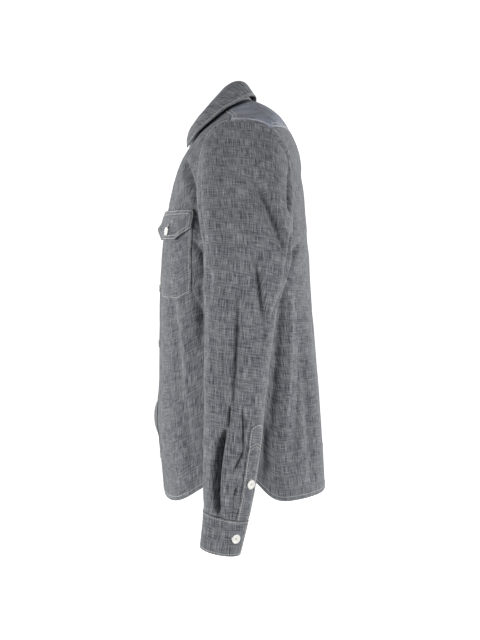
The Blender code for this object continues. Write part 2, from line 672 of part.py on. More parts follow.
def patch(inner, outer, top, foot, corner, corner_rise):
    """Turn and run of a patch on the chest, with its lower corners cut off."""
    cut = np.array([0, 0.5, 1.0]) * corner
    middle = np.linspace(inner + corner, outer - corner, 5)[1:-1]
    distance = np.concatenate([inner + cut, middle, outer - cut[::-1]])
    edge = np.minimum(distance - inner, outer - distance)
    lowest = foot + corner_rise * (1 - np.clip(edge / corner, 0, 1))
    rows = np.linspace(0, 1, 8)[:, None]
    share = (distance - inner) / (outer - inner)
    z = top + rows * (lowest[None, :] - top) - POCKET_TILT * share
    turn = chest_turn(distance)
    return turn[None, :], chest_run(turn, z), share[None, :], rows


def build_pocket():
    """The chest pocket, a patch on the left front."""
    turn, run, _, _ = patch(POCKET_INNER, POCKET_OUTER, POCKET_TOP, POCKET_FOOT,
                            POCKET_CORNER, POCKET_CORNER_RISE)
    out = CLOTH / 2 + LAID + TRIM / 2
    sheet("pocket_left", body_surface(turn, run, out), TRIM)


def flap_surface():
    """Points of the flap, which lifts off the pocket towards its lower edge."""
    turn, run, share, rows = patch(POCKET_INNER - FLAP_BEYOND, POCKET_OUTER + FLAP_BEYOND,
                                   FLAP_TOP, FLAP_FOOT, FLAP_CORNER, FLAP_CORNER_RISE)
    out = CLOTH / 2 + LAID + TRIM + LAID + TRIM / 2
    lift = FLAP_LIFT * rows ** 1.5 * (1 - share) ** 0.5
    return body_surface(turn, run, out + lift)


def build_flap():
    """The pocket's flap."""
    sheet("flap_left", flap_surface(), TRIM)


# ---------------------------------------------------------------- buttons

def build_button(name, seat, normal):
    """A turned button with a raised rim, seated just above its cloth."""
    height, radius = BUTTON_HEIGHT, BUTTON_RADIUS
    profile = ((0.0, 0.62 * height), (0.55 * radius, 0.62 * height), (0.72 * radius, height),
               (0.92 * radius, 0.95 * height), (radius, 0.5 * height),
               (0.90 * radius, 0.0), (0.0, 0.0))
    sides = 12
    z_axis = np.asarray(normal) / np.linalg.norm(normal)
    x_axis = np.cross(z_axis, [0.0, 0.0, 1.0])
    x_axis = x_axis / np.linalg.norm(x_axis)
    y_axis = np.cross(z_axis, x_axis)
    build = bmesh.new()
    rings = []
    for away, up in profile:
        count = 1 if away == 0.0 else sides
        angles = [2 * math.pi * i / sides for i in range(count)]
        rings.append([build.verts.new(seat + away * (math.cos(a) * x_axis + math.sin(a) * y_axis)
                                      + up * z_axis) for a in angles])
    for first, second in zip(rings, rings[1:]):
        for i in range(sides):
            corners = {first[i % len(first)]: 0, first[(i + 1) % len(first)]: 1,
                       second[(i + 1) % len(second)]: 2, second[i % len(second)]: 3}
            build.faces.new(list(corners))
    bmesh.ops.recalc_face_normals(build, faces=build.faces)
    mesh = bpy.data.meshes.new(name)
    build.to_mesh(mesh)
    build.free()
    mesh.materials.append(material("button"))
    made = bpy.data.objects.new(name, mesh)
    bpy.data.collections[GARMENT].objects.link(made)


def seat_on(surface, first, second, out):
    """A place on a surface for a button and the surface's normal there."""
    spot = surface(first, second, out)
    down = surface(first, second + 0.002, out) - surface(first, second - 0.002, out)
    across = surface(first + 0.02, second, out) - surface(first - 0.02, second, out)
    return spot, np.cross(down, across)


def build_front_buttons():
    """The buttons down the centre front, the first of them on the collar stand."""
    out = CLOTH / 2 + SEAM + TRIM + 2 * SEAM
    runs = np.linspace(0, HEM_FRONT, 800)
    heights = body_point(0.0, runs)[..., 2]
    for number in range(FRONT_BUTTONS):
        z = TOP_BUTTON_Z - BUTTON_GAP * number
        run = float(np.interp(-z, -heights, runs))
        seat, normal = seat_on(body_surface, np.array(0.0), np.array(run), out)
        build_button(f"button_front_{number + 1}", seat, normal)
    foot, head = body_surface(0.0, 0.0), section(0.0, *STAND_TOP)
    rise = head - foot
    normal = np.cross(rise, [-1.0, 0.0, 0.0])
    normal = normal / np.linalg.norm(normal)
    seat = foot + rise * 0.5 + normal * (LAP / 2 + CLOTH / 2 + SEAM)
    build_button("button_stand", seat, normal)


def build_sleeve_buttons(side, folds, place):
    """The gauntlet's button and the cuff's."""
    middle = math.radians(gauntlet_middle(GAUNTLET_BUTTON_DOWN))
    out = CLOTH / 2 + LAID + TRIM + SEAM
    seat, normal = seat_on(lambda a, d, o: sleeve_surface(a, d, folds, o), np.array(middle),
                           np.array(GAUNTLET_BUTTON_DOWN), out)
    build_button("button_gauntlet_" + side, place(seat), place(normal))
    out = np.array(LAP / 2 + CLOTH / 2 + SEAM)
    seat, normal = seat_on(cuff_point, np.array(math.radians(CUFF_BUTTON_AROUND)),
                           np.array(CUFF_DOWN + CUFF_LENGTH / 2), out)
    build_button("button_cuff_" + side, place(seat), place(normal))


def build_flap_button():
    """The flap's button, near the lower edge of the flap."""
    points = flap_surface()
    row, middle = 5, points.shape[1] // 2
    down = points[row + 1, middle] - points[row - 1, middle]
    across = points[row, middle + 1] - points[row, middle - 1]
    normal = np.cross(down, across)
    normal = normal / np.linalg.norm(normal)
    build_button("button_flap", points[row, middle] + normal * (TRIM / 2 + LAID), normal)


def build():
    """The whole garment."""
    for old in list(bpy.data.objects):
        bpy.data.objects.remove(old, do_unlink=True)
    bpy.context.scene.collection.children.link(bpy.data.collections.new(GARMENT))
    build_yoke()
    build_back()
    build_fronts()
    build_band()
    build_collar_stand()
    build_collar_leaf()
    build_pocket()
    build_flap()
    build_front_buttons()
    build_flap_button()
    sides = (("left", SLEEVE_FOLDS, np.array), ("right", RIGHT_SLEEVE_FOLDS, mirrored))
    for side, folds, place in sides:
        build_sleeve(side, folds, place)
        build_cuff(side, place)
        build_gauntlet(side, folds, place)
        build_sleeve_buttons(side, folds, place)


build()
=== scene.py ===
"""The looks of the chambray shirt jacket: fine cloth with its creases, seams and stitching.

Each piece is the same surface as its solid's, read on a finer grid and with more creases. A body
panel is read by turn, the angle round the body from the centre front, and run, the way down from
the neck seam; a sleeve by around and down in the same way. Metres, +Z up, front towards -Y.
"""
import math

import bpy
import numpy as np
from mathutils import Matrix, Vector


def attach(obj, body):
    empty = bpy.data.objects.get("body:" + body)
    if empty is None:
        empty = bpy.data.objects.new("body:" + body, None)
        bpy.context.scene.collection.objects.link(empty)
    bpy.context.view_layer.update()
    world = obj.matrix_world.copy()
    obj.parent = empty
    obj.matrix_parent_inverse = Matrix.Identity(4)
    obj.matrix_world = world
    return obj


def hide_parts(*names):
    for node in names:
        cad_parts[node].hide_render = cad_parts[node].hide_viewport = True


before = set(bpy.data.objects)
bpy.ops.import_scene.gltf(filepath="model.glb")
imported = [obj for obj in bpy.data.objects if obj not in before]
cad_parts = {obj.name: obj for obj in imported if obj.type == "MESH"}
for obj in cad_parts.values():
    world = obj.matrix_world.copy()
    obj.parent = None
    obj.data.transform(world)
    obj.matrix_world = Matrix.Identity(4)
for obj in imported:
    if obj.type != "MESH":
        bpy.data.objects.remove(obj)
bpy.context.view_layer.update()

QUARTER = math.pi / 2
TURN = 2 * math.pi
MILLIMETRE = 0.001

# Walls, gaps and laps of the solids
CLOTH = 0.0015
TRIM = 0.0012
SEAM = 0.0003
LAID = 0.0005
LAP = CLOTH + SEAM
STEP = 1e-4             # step of the finite differences that give a surface's normal

# Body sections
ROUNDING = 0.87
BODY_SECTION = ("name", "run", "half", "front_y", "side_y", "back_y",
                "front_z", "side_z", "back_z", "crest")
BODY_SECTIONS = (
    ("neck seam", 0.000, 0.068, -0.090, -0.018, 0.022, -0.086, -0.024, 0.000, 0.92),
    ("neck slope", 0.060, 0.121, -0.100, -0.002, 0.051, -0.112, -0.048, -0.016, 1.15),
    ("shoulder", 0.115, 0.172, -0.110, 0.000, 0.077, -0.140, -0.062, -0.042, 1.60),
    ("shoulder point", 0.155, 0.203, -0.117, 0.000, 0.092, -0.160, -0.077, -0.070, 2.00),
    ("upper armhole", 0.215, 0.208, -0.126, 0.002, 0.105, -0.193, -0.128, -0.105, 2.00),
    ("chest", 0.285, 0.205, -0.1345, 0.003, 0.114, -0.238, -0.195, -0.180, 2.00),
    ("underarm", 0.360, 0.199, -0.139, 0.003, 0.1215, -0.288, -0.270, -0.265, 2.00),
    ("midriff", 0.460, 0.193, -0.143, 0.003, 0.129, -0.370, -0.370, -0.370, 2.00),
    ("waist", 0.560, 0.190, -0.144, 0.003, 0.138, -0.470, -0.470, -0.470, 2.00),
    ("hip", 0.660, 0.194, -0.1465, 0.003, 0.146, -0.570, -0.570, -0.570, 2.00),
    ("hem line", 0.800, 0.200, -0.131, 0.003, 0.154, -0.710, -0.710, -0.710, 2.00),
)
HEM_FRONT = 0.787
HEM_BACK = 0.774
HEM_SIDE = 0.730
HEM_FRONT_POWER = 5.5
HEM_BACK_POWER = 44
HEM_STARTS = 0.56

# Armhole, yoke and shoulder seam
ARMHOLE_TOP = 0.155
ARMHOLE_FOOT = 0.352
ARMHOLE_FRONT = math.radians(28)
ARMHOLE_BACK = math.radians(44)
ARMHOLE_FULLNESS = 2.1
ARMHOLE_SCYE = 1.33
FRONT_SHOULDER_SEAM = math.radians(85)
YOKE_CORNER = math.radians(116)
YOKE_CENTRE_RUN = 0.155

# Front opening
BAND_HALF = 0.0165
BAND_BELOW_NECK = 0.0015
LAP_FADES = 0.045
BUTTON_GAP = 0.10025
TOP_BUTTON_Z = -0.135
FRONT_BUTTONS = 6

# Sleeve sections
ARM_SECTION = ("name", "z", "x", "y", "half_x", "half_y", "tilt")
ARM_SECTIONS = (
    ("upper arm", -0.300, 0.2555, 0.0115, 0.0510, 0.0680, 0.00),
    ("biceps", -0.340, 0.2565, 0.0068, 0.0500, 0.0614, 0.00),
    ("above elbow", -0.380, 0.2570, 0.0010, 0.0490, 0.0545, 0.02),
    ("elbow", -0.430, 0.2570, -0.0030, 0.0480, 0.0510, 0.05),
    ("forearm", -0.500, 0.2560, -0.0075, 0.0460, 0.0460, 0.08),
    ("placket top", -0.560, 0.2540, -0.0110, 0.0440, 0.0430, 0.11),
    ("placket", -0.620, 0.2520, -0.0150, 0.0420, 0.0402, 0.15),
    ("above cuff", -0.662, 0.2505, -0.0188, 0.0395, 0.0378, 0.18),
    ("cuff seam", -0.688, 0.2500, -0.0212, 0.0352, 0.0340, 0.20),
    ("cuff edge", -0.742, 0.2500, -0.0300, 0.0345, 0.0300, 0.17),
)
ARM_ROUNDING = 0.95
ARM_TOP = -0.300
CAP_DOWN = 0.20
CUFF_DOWN = CAP_DOWN + 0.388
CUFF_LENGTH = 0.054
CAP_OUT = (0.71, -0.09)
CAP_DROP = (-0.64, -0.14)
CAP_SPREAD = 0.25
CAP_FULLNESS = 0.75
CUFF_END = 78
CUFF_LAP = 52
CUFF_BUTTON_AROUND = 33
GAUNTLET_HALF = 18
GAUNTLET_TOP = 53
GAUNTLET_FOOT = 43
GAUNTLET_DOWN = 0.443
GAUNTLET_POINT = 0.007
GAUNTLET_BUTTON_DOWN = 0.532

# Collar
STAND_TOP = (0.056, -0.085, -0.026, 0.002, -0.056, 0.008, 0.029, 0.87)
LEAF_EDGE = (0.088, -0.105, -0.016, 0.030, -0.0985, -0.026, 0.006, 1.00)
LEAF_FOLD_FROM = 4
LEAF_POINT_FROM = 30
LEAF_ROLL = 0.009
LEAF_STANDS_OFF = 0.012

# Pocket and flap
POCKET_INNER = 0.071
POCKET_OUTER = 0.196
POCKET_TOP = -0.220
POCKET_FOOT = -0.355
POCKET_CORNER = 0.032
POCKET_CORNER_RISE = 0.014
POCKET_TILT = 0.008
POCKET_PUFF = 0.0018    # how far its middle stands off the front
FLAP_TOP = -0.2075
FLAP_FOOT = -0.256
FLAP_BEYOND = 0.001
FLAP_CORNER = 0.036
FLAP_CORNER_RISE = 0.019
FLAP_LIFT = 0.008
FLAP_STANDS_OFF = 0.0012
POCKET_RUN = 0.32

BUTTON_RADIUS = 0.007
BUTTON_HEIGHT = 0.0026
STITCH_PITCH = 0.0036
STITCH_LENGTH = 0.0030
THREAD_RADIUS = 0.00038
BODY_RADIUS = 0.16      # metres for each radian of turn, for the width of a crease
ARM_RADIUS = 0.047

# Creases of the body and sleeves: a trough from one place to another, its ends as an angle in
# degrees and a way down, with all lengths in millimetres. bend is how far its middle bows to the
# side, width and other_width are its reach on its two sides, and a depth below nought is a ridge.
# Columns: name, from_angle, from_way, to_angle, to_way, bend, depth, width, other_width.
BODY_CREASES = (
    # left front, from the placket round to the side
    ("chest to the armhole", 45, 182, 63, 290, 2, 13.5, 4.8, 8),
    ("above that", 36, 170, 50, 205, -3, 2.3, 6.5, 9),
    ("outside the pocket", 61.5, 354, 69, 394, 1, 11.5, 4, 5.8),
    ("beside the flap", 60.5, 296, 63.5, 344, 1, 12.5, 3.8, 5.6),
    ("beside the pocket's foot", 60, 440, 69, 512, 2, 6.5, 6, 9),
    ("front of the sleeve", 67.5, 385, 66.5, 535, -3, 8.4, 4.4, 7.4),
    ("front drag", 38, 420, 52, 640, 7, 4.8, 13, 18),
    ("front drag's ridge", 47, 450, 60, 660, 6, -2.9, 11.9, 15.3),
    ("low front", 58, 600, 62, 745, -4, 4.1, 7.2, 11.2),
    ("low front slant", 30, 690, 52, 655, 3, 2.1, 5, 7.5),
    ("front hang", 20, 480, 23, 740, 3, 3, 9.4, 13.5),
    ("under the arm front", 76, 372, 60, 425, 3, 5.6, 4.4, 7.4),
    # left side and back
    ("behind the sleeve", 120, 425, 103.5, 668, 0, 8.5, 7, 11.5),
    ("its ridge", 128, 430, 112, 700, 2, -4.6, 8.5, 11),
    ("beyond the ridge", 133, 530, 121, 725, 2, 4.4, 6.5, 10),
    ("low beside the cuff", 101, 640, 100, 735, 3, 6.7, 5, 6.2),
    ("under the arm back", 98, 368, 112, 415, -2, 6.2, 4.4, 7.4),
    ("behind the elbow", 118, 400, 140, 362, 1, 14, 4.4, 6),
    ("back drag", 130, 300, 120, 420, 5, 6.7, 7.2, 11.2),
    ("back drag, upper", 134, 215, 128, 300, 4, 3.4, 6.5, 9.7),
    ("back hang", 134, 500, 139, 750, 4, 5.8, 8.8, 13.6),
    ("back ridge", 147, 460, 152, 760, -4, -4.6, 17, 20.4),
    ("back slant one", 131, 560, 157, 545, -2, 1.6, 3.6, 5.3),
    ("back slant two", 130, 646, 158, 628, -3, 1.8, 3.6, 6),
    ("back slant three", 127, 697, 164, 684, -2, 1.6, 3.6, 5.3),
    # middle of the back
    ("back middle hang", 178, 400, 174, 700, 6, 4.8, 18.7, 24),
    ("back middle, low", 186, 560, 190, 760, -5, 3.4, 10.1, 15),
    ("blade to blade", 160, 250, 202, 262, 6, 2.5, 8.6, 13.5),
    ("below the blades", 163, 345, 196, 332, -6, 2.1, 7.9, 12),
    # right side, front and back
    ("right back ridge", 210, 440, 207, 760, 4, -4.6, 18.7, 22.1),
    ("right back hang", 228, 480, 222, 750, -4, 6.2, 9.4, 13.6),
    ("right behind the elbow", 240, 402, 222, 372, -1, 8.5, 5, 7),
    ("right back drag", 231, 320, 242, 450, -4, 6.9, 7.2, 11.2),
    ("right behind the sleeve", 241, 430, 255, 670, 0, 8, 7, 11),
    ("right its ridge", 233, 440, 248, 705, -2, -4.4, 8.5, 11),
    ("right back slant", 203, 560, 232, 600, 3, 1.8, 4.3, 6),
    ("right under the arm", 262, 370, 248, 420, -2, 6.2, 4.4, 7.4),
    ("right front of the sleeve", 294, 390, 294, 540, 3, 8.1, 5, 7.4),
    ("right chest", 313, 205, 298, 300, -2, 6.9, 5, 8.1),
    ("right front drag", 321, 430, 308, 650, -6, 4.8, 13, 18),
    ("right front ridge", 312, 460, 300, 680, -5, -2.9, 11.9, 15.3),
    ("right low front", 300, 610, 297, 745, 4, 4.1, 7.9, 11.2),
    ("right front hang", 342, 500, 338, 745, -3, 3, 9.4, 13.5),
    ("right front slant", 331, 300, 311, 345, 3, 2.5, 6.5, 9),
)
BUTTON_PULLS = (
    # short creases that run from the buttons into the fronts
    ("second left", 5, 222, 24, 236, 2, 1.2, 4, 6),
    ("third left", 5, 322, 20, 309, -1, 1.1, 4, 6),
    ("fourth left", 5, 420, 27, 438, 2, 1.4, 4, 7),
    ("fifth left", 5, 522, 22, 512, -2, 1.1, 4, 6),
    ("second right", 355, 218, 335, 228, -2, 1.2, 4, 6),
    ("third right", 355, 318, 338, 330, 1, 1.2, 4, 6),
    ("fourth right", 355, 418, 334, 408, 2, 1.3, 4, 7),
    ("fifth right", 355, 520, 336, 532, -2, 1.1, 4, 6),
)
# Between two lower buttons the edge of the left front and its band springs forward.
BAND_SPRING = (
    ("band edge", -3.6, 628, -3.6, 690, 0, -10, 16, 16),
)

LEFT_SLEEVE_CREASES = (
    ("cuff pleat", 345, 456, 343, 592, -8.5, 29, 5.6, 6.4),
    ("pleat's back lip", 2, 470, 355, 580, -5, -4, 7, 9),
    ("pleat's front lip", 326, 470, 322, 560, -5, -2.2, 9, 7),
    ("above the pleat", 350, 418, 354, 456, 0, 9.5, 4.1, 5.9),
    ("shoulder diagonal", 8, 88, 51, 186, -1, 12.8, 5.2, 8),
    ("beyond the diagonal", 22, 98, 56, 180, -2, -2.6, 8.5, 10.2),
    ("back of the elbow", 8, 196, 41, 290, -2.8, 11.6, 4.6, 7.4),
    ("its lower end", 44, 290, 46, 345, 1, 3.9, 5.8, 8.3),
    ("down the forearm", 352, 232, 359, 432, 3.6, 10, 4.8, 7.6),
    ("behind the forearm", 10, 300, 12, 420, 1.5, -2.4, 5.9, 8.5),
    ("forearm thread", 336, 322, 339, 390, 0.5, 2.5, 2.3, 3.7),
    ("front of the forearm", 318, 250, 322, 460, -2, 3, 5.8, 8.3),
    ("beside the gauntlet", 15, 415, 24, 492, 1.2, 5.8, 2.5, 4),
    ("gauntlet to pleat", 24, 487, 6, 514, 0.8, 6.7, 2.6, 4),
    ("below that", 22, 535, 8, 560, -0.8, 2.8, 2.9, 4.5),
    ("beside the cuff", 14, 520, 16, 590, 0.6, 3.4, 2.9, 4.5),
    ("notch behind", 68, 62, 66, 126, -1, 19, 3.8, 5.8),
    ("notch's near fold", 58, 55, 58, 110, 1, 2.8, 2.4, 3.4),
    ("notch's far fold", 74, 52, 71, 100, -1, 3, 2.6, 3.6),
    ("along the armhole", 26, 16, 67, 30, 1.6, 19, 2.6, 4),
    ("above the notch", 62, 34, 67, 70, 0, 6, 2.6, 3.6),
    ("back edge", 80, 150, 70, 235, -3, 7.6, 5, 7.4),
    ("back edge, lower", 84, 245, 62, 292, 2, 6.3, 4.4, 6.8),
    ("front seam", 298, 30, 292, 110, -1, 2.8, 3.6, 5.3),
    ("front of the arm", 287, 100, 277, 190, 1.5, 6.5, 6, 9.3),
    ("front of the elbow", 302, 215, 292, 275, 3, 4.8, 5.8, 9),
    ("front, lower", 283, 300, 292, 350, -2, 3.9, 5.8, 8.3),
    ("middle of the arm", 330, 110, 340, 215, 2, 5, 7, 11),
    ("inner elbow", 205, 250, 150, 300, 3, 5.6, 5.5, 9.3),
    ("inner elbow, lower", 235, 285, 185, 332, -3, 4.8, 6.5, 9.7),
    ("inner elbow, back", 130, 232, 100, 275, 2, 5.5, 5.8, 9),
    ("inner forearm", 210, 360, 170, 420, 2, 3.4, 6.5, 9.7),
    ("inner wrist", 250, 470, 232, 560, 1, 4.1, 4.3, 6.7),
    ("second inner wrist", 195, 500, 180, 575, 1, 3.4, 4.3, 6),
    ("back of the wrist", 110, 480, 118, 570, 0, 3.9, 4.3, 6),
    ("gauntlet's first pucker", 40, 486, 62, 492, 0.6, 1.4, 1.6, 2.3),
    ("gauntlet's second pucker", 38, 510, 60, 517, -0.6, 1.4, 1.6, 2.3),
    ("gauntlet's third pucker", 44, 565, 68, 560, 0.6, 1.1, 1.6, 2.3),
)
RIGHT_SLEEVE_CREASES = (
    ("cuff pleat", 343, 468, 342, 592, -7, 25, 5.6, 6.4),
    ("pleat's back lip", 0, 480, 354, 580, -4, -3.6, 7, 9),
    ("pleat's front lip", 325, 480, 323, 570, -4, -2.2, 9, 7),
    ("above the pleat", 352, 410, 350, 466, 1, 7.8, 4.4, 6.2),
    ("shoulder diagonal", 12, 96, 47, 198, -1.2, 11.2, 5.4, 8.4),
    ("second diagonal", 344, 85, 10, 165, -2, 3.4, 6.5, 9.7),
    ("back of the elbow", 14, 208, 42, 300, -2, 10.4, 4.8, 7.6),
    ("down the forearm", 348, 245, 357, 420, 3, 8, 5, 8),
    ("behind the forearm", 8, 320, 14, 430, 1.5, -2.4, 5.9, 8.5),
    ("front of the forearm", 322, 265, 318, 440, 2, 3.4, 6.1, 8.3),
    ("beside the gauntlet", 18, 425, 25, 500, 1.2, 5.5, 3.3, 4.9),
    ("gauntlet to pleat", 23, 498, 4, 520, 0.8, 5.8, 2.8, 4),
    ("beside the cuff", 12, 525, 18, 590, 0.6, 3.2, 3, 4.5),
    ("notch behind", 67, 66, 66, 130, -0.8, 16.5, 3.8, 5.8),
    ("notch's near fold", 56, 52, 59, 104, 1, 2.8, 2.4, 3.4),
    ("along the armhole", 30, 17, 66, 31, 1.2, 16, 2.8, 4.2),
    ("back edge", 82, 160, 69, 245, -3, 7.2, 5, 7.7),
    ("back edge, lower", 80, 258, 60, 300, 2, 5.8, 4.4, 6.8),
    ("front of the arm", 284, 105, 279, 185, 1.5, 6.3, 6, 9.3),
    ("front of the elbow", 300, 225, 290, 290, 3, 5.3, 6.1, 9),
    ("inner elbow", 198, 262, 152, 296, 3, 5.5, 7.2, 11.2),
    ("inner elbow, lower", 230, 300, 190, 345, -3, 4.6, 6.5, 9.7),
    ("inner forearm", 205, 380, 175, 430, 2, 3.4, 6.5, 9.7),
    ("inner wrist", 246, 475, 236, 565, 1, 3.9, 4.3, 6.7),
    ("back of the wrist", 112, 470, 116, 575, 0, 3.9, 4.3, 6),
    ("gauntlet's first pucker", 42, 495, 64, 489, 0.6, 1.4, 1.6, 2.3),
    ("gauntlet's second pucker", 40, 560, 66, 566, -0.6, 1.3, 1.6, 2.3),
)
# Soft unevenness of the whole cloth: cells round and down, and how far it stands in or out.
BODY_CRUMPLE = ((12, 5, 0.0016), (27, 12, 0.0009), (60, 34, 0.00040))
SLEEVE_CRUMPLE = ((6, 6, 0.0014), (13, 15, 0.0009), (27, 34, 0.00042))


# ---------------------------------------------------------------- curves and surfaces

def together(first, second):
    """Two numbers or arrays as float arrays of one shape."""
    return np.broadcast_arrays(np.asarray(first, float), np.asarray(second, float))


def hermite(part, start, leaving, end, arriving):
    """The cubic from start to end whose slopes there are leaving and arriving."""
    return ((1 + 2 * part) * (1 - part) ** 2 * start + part * (1 - part) ** 2 * leaving
            + part ** 2 * (3 - 2 * part) * end + part ** 2 * (part - 1) * arriving)


def arc_length(points, axis=0):
    """Length along a grid's lines in one direction, from their first points."""
    steps = np.linalg.norm(np.diff(points, axis=axis), axis=-1)
    return np.concatenate([np.zeros_like(np.take(steps, [0], axis)), np.cumsum(steps, axis)], axis)


def columns(table, names):
    """A table's columns after the first, each as an array."""
    return {name: np.array([row[i] for row in table], float)
            for i, name in enumerate(names) if i > 0}


BODY = columns(BODY_SECTIONS, BODY_SECTION)
ARM = columns(ARM_SECTIONS, ARM_SECTION)


def smooth_through(knots, values, at):
    """A cubic through each value at its knot, with the slope of its neighbours there."""
    slopes = np.gradient(values, knots)
    at = np.clip(at, knots[0], knots[-1])
    below = np.clip(np.searchsorted(knots, at, side="right") - 1, 0, len(knots) - 2)
    span = knots[below + 1] - knots[below]
    part = (at - knots[below]) / span
    return hermite(part, values[below], span * slopes[below], values[below + 1],
                   span * slopes[below + 1])


def ease(value, start, end):
    """0 before start, 1 after end, and 3p^2 - 2p^3 of the share p between them."""
    part = np.clip((value - start) / (end - start), 0, 1)
    return part * part * (3 - 2 * part)


def unit(vectors):
    """The vectors, each divided by its length."""
    return vectors / np.linalg.norm(vectors, axis=-1, keepdims=True)


def section(turn, half, front_y, side_y, back_y, front_z, side_z, back_z, crest):
    """A closed section: x and y go as the sine and cosine to the power ROUNDING, and the height
    goes from side to centre as the cosine to the power crest."""
    turn = np.asarray(turn, float)
    sine = np.sin(turn)
    ahead = np.clip(np.cos(turn), 0, 1)
    behind = np.clip(-np.cos(turn), 0, 1)
    x = half * np.sign(sine) * np.abs(sine) ** ROUNDING
    y = side_y + (front_y - side_y) * ahead ** ROUNDING + (back_y - side_y) * behind ** ROUNDING
    z = side_z + (front_z - side_z) * ahead ** crest + (back_z - side_z) * behind ** crest
    return np.stack([x, y, z], -1)


def body_point(turn, run):
    """The body's surface without creases, through its sections."""
    turn, run = together(turn, run)
    sizes = [smooth_through(BODY["run"], BODY[name], run) for name in BODY_SECTION[2:]]
    return section(turn, *sizes)


def normal_of(surface, first, second):
    """The outward normal of a surface read by an angle and a way down: the step down crossed
    with the step round."""
    down = surface(first, second + STEP) - surface(first, second - STEP)
    across = surface(first + STEP, second) - surface(first - STEP, second)
    return unit(np.cross(down, across))


def creased(angle, way, creases, radius):
    """How far the cloth stands in or out. Each crease is a bell curve across a line that bows as
    a parabola in the unrolled cloth, with a width of its own on each side; along the line it
    swells as the root of a sine, and past its ends it dies off as a bell curve too."""
    total = np.zeros(np.broadcast(angle, way).shape)
    for _, from_angle, from_way, to_angle, to_way, *sizes in creases:
        bend, depth, width, other_width = (size * MILLIMETRE for size in sizes)
        if to_angle - from_angle > 180:
            from_angle += 360
        if from_angle - to_angle > 180:
            to_angle += 360
        start = np.array([math.radians(from_angle) * radius, from_way * MILLIMETRE])
        line = np.array([math.radians(to_angle) * radius, to_way * MILLIMETRE]) - start
        length = math.hypot(*line)
        middle = math.radians((from_angle + to_angle) / 2)
        near = np.mod(angle - middle + math.pi, TURN) - math.pi + middle
        across, along = near * radius - start[0], way - start[1]
        part = (across * line[0] + along * line[1]) / length ** 2
        inside = np.clip(part, 0, 1)
        off = (across * line[1] - along * line[0]) / length - 4 * bend * inside * (1 - inside)
        reach = np.where(off > 0, width, other_width)
        beyond = (part - inside) * length
        swell = 0.15 + 0.85 * np.sqrt(np.sin(math.pi * inside).clip(0))
        total -= depth * swell * np.exp(-(off / reach) ** 2 - (beyond / (1.5 * width)) ** 2)
    return total


def crumple(round_share, down_share, layers, seed):
    """Soft unevenness: for each layer a lattice of seeded random heights, read with the smooth
    step between its points. It closes on itself round the piece."""
    dice = np.random.default_rng(seed)
    total = np.zeros(np.broadcast(round_share, down_share).shape)
    for cells_round, cells_down, depth in layers:
        lattice = dice.uniform(-1, 1, (cells_round, cells_down + 3))
        x = np.mod(round_share, 1.0) * cells_round
        y = np.clip(down_share, 0, 1) * cells_down
        column, row = np.floor(x).astype(int), np.floor(y).astype(int)
        x, y = ease(x - column, 0, 1), ease(y - row, 0, 1)
        left, right = column % cells_round, (column + 1) % cells_round
        upper = lattice[left, row] * (1 - x) + lattice[right, row] * x
        lower = lattice[left, row + 1] * (1 - x) + lattice[right, row + 1] * x
        total += depth * (upper * (1 - y) + lower * y)
    return total


BODY_LENGTH = 0.80
ARM_LENGTH = CUFF_DOWN + CUFF_LENGTH
HEM_FOLD = 0.0075       # width of the turned-up hem
FELL = 0.0085           # width of a felled seam
FELL_RISE = 0.0005      # how far a felled seam or hem stands up
# Beside the armhole seam a sleeve's head dips and then rolls out: how far it stands out, how far
# down the sleeve, and how far it reaches. Both are fullest at HEAD_AT and fall to a quarter.
HEAD_ROLL = (0.0050, 0.013, 0.0085)
HEAD_DIP = (-0.0090, 0.0030, 0.0023)
HEAD_AT, HEAD_REACH = math.radians(58), 0.75


def hem_run(turn):
    """The run of the shirt-tail hem: lowest in the middle, and raised at the side seams as the
    sine to a power."""
    ahead = np.cos(turn) > 0
    middle = np.where(ahead, HEM_FRONT, HEM_BACK)
    power = np.where(ahead, HEM_FRONT_POWER, HEM_BACK_POWER)
    return middle + (HEM_SIDE - middle) * np.abs(np.sin(turn)) ** power


def body_surface(turn, run, out=0.0):
    """The body with its creases, seams and hem, moved out along its normal."""
    turn, run = together(turn, run)
    relief = creased(turn, run, BODY_CREASES + BUTTON_PULLS, BODY_RADIUS)
    relief = relief + crumple(turn / TURN, run / BODY_LENGTH, BODY_CRUMPLE, 11)
    above_hem = hem_run(turn) - run
    pucker = 0.35 * np.sin(turn * 150 + 5 * np.sin(turn * 23)) * np.exp(-(above_hem / 0.012) ** 2)
    side = np.abs(np.mod(turn, math.pi) - QUARTER) * BODY_RADIUS
    fell = FELL_RISE * (1 - ease(side, 0.4 * FELL, 0.6 * FELL)) * ease(run, ARMHOLE_FOOT, 0.40)
    hem = FELL_RISE * (1 - ease(above_hem, HEM_FOLD, 1.4 * HEM_FOLD)) * (1 + pucker)
    shift = relief * ease(run, 0.0, 0.10) + fell + hem + out
    return body_point(turn, run) + normal_of(body_point, turn, run) * shift[..., None]


def turn_at_x(x, run):
    """The turn, near the centre front, at which the body lies x to the side."""
    half = smooth_through(BODY["run"], BODY["half"], run)
    return np.sign(x) * np.arcsin((np.abs(x) / half) ** (1 / ROUNDING))


def off_side(distance, run):
    """The turn that a short distance takes up beside the side seam."""
    depth = smooth_through(BODY["run"], BODY["side_y"] - BODY["front_y"], run)
    return (distance / depth) ** (1 / ROUNDING)


def beside_shoulder_seam(run):
    """The turn that half a seam's gap takes up beside the front shoulder seam."""
    return SEAM / 2 / smooth_through(BODY["run"], BODY["side_y"] - BODY["front_y"], run)


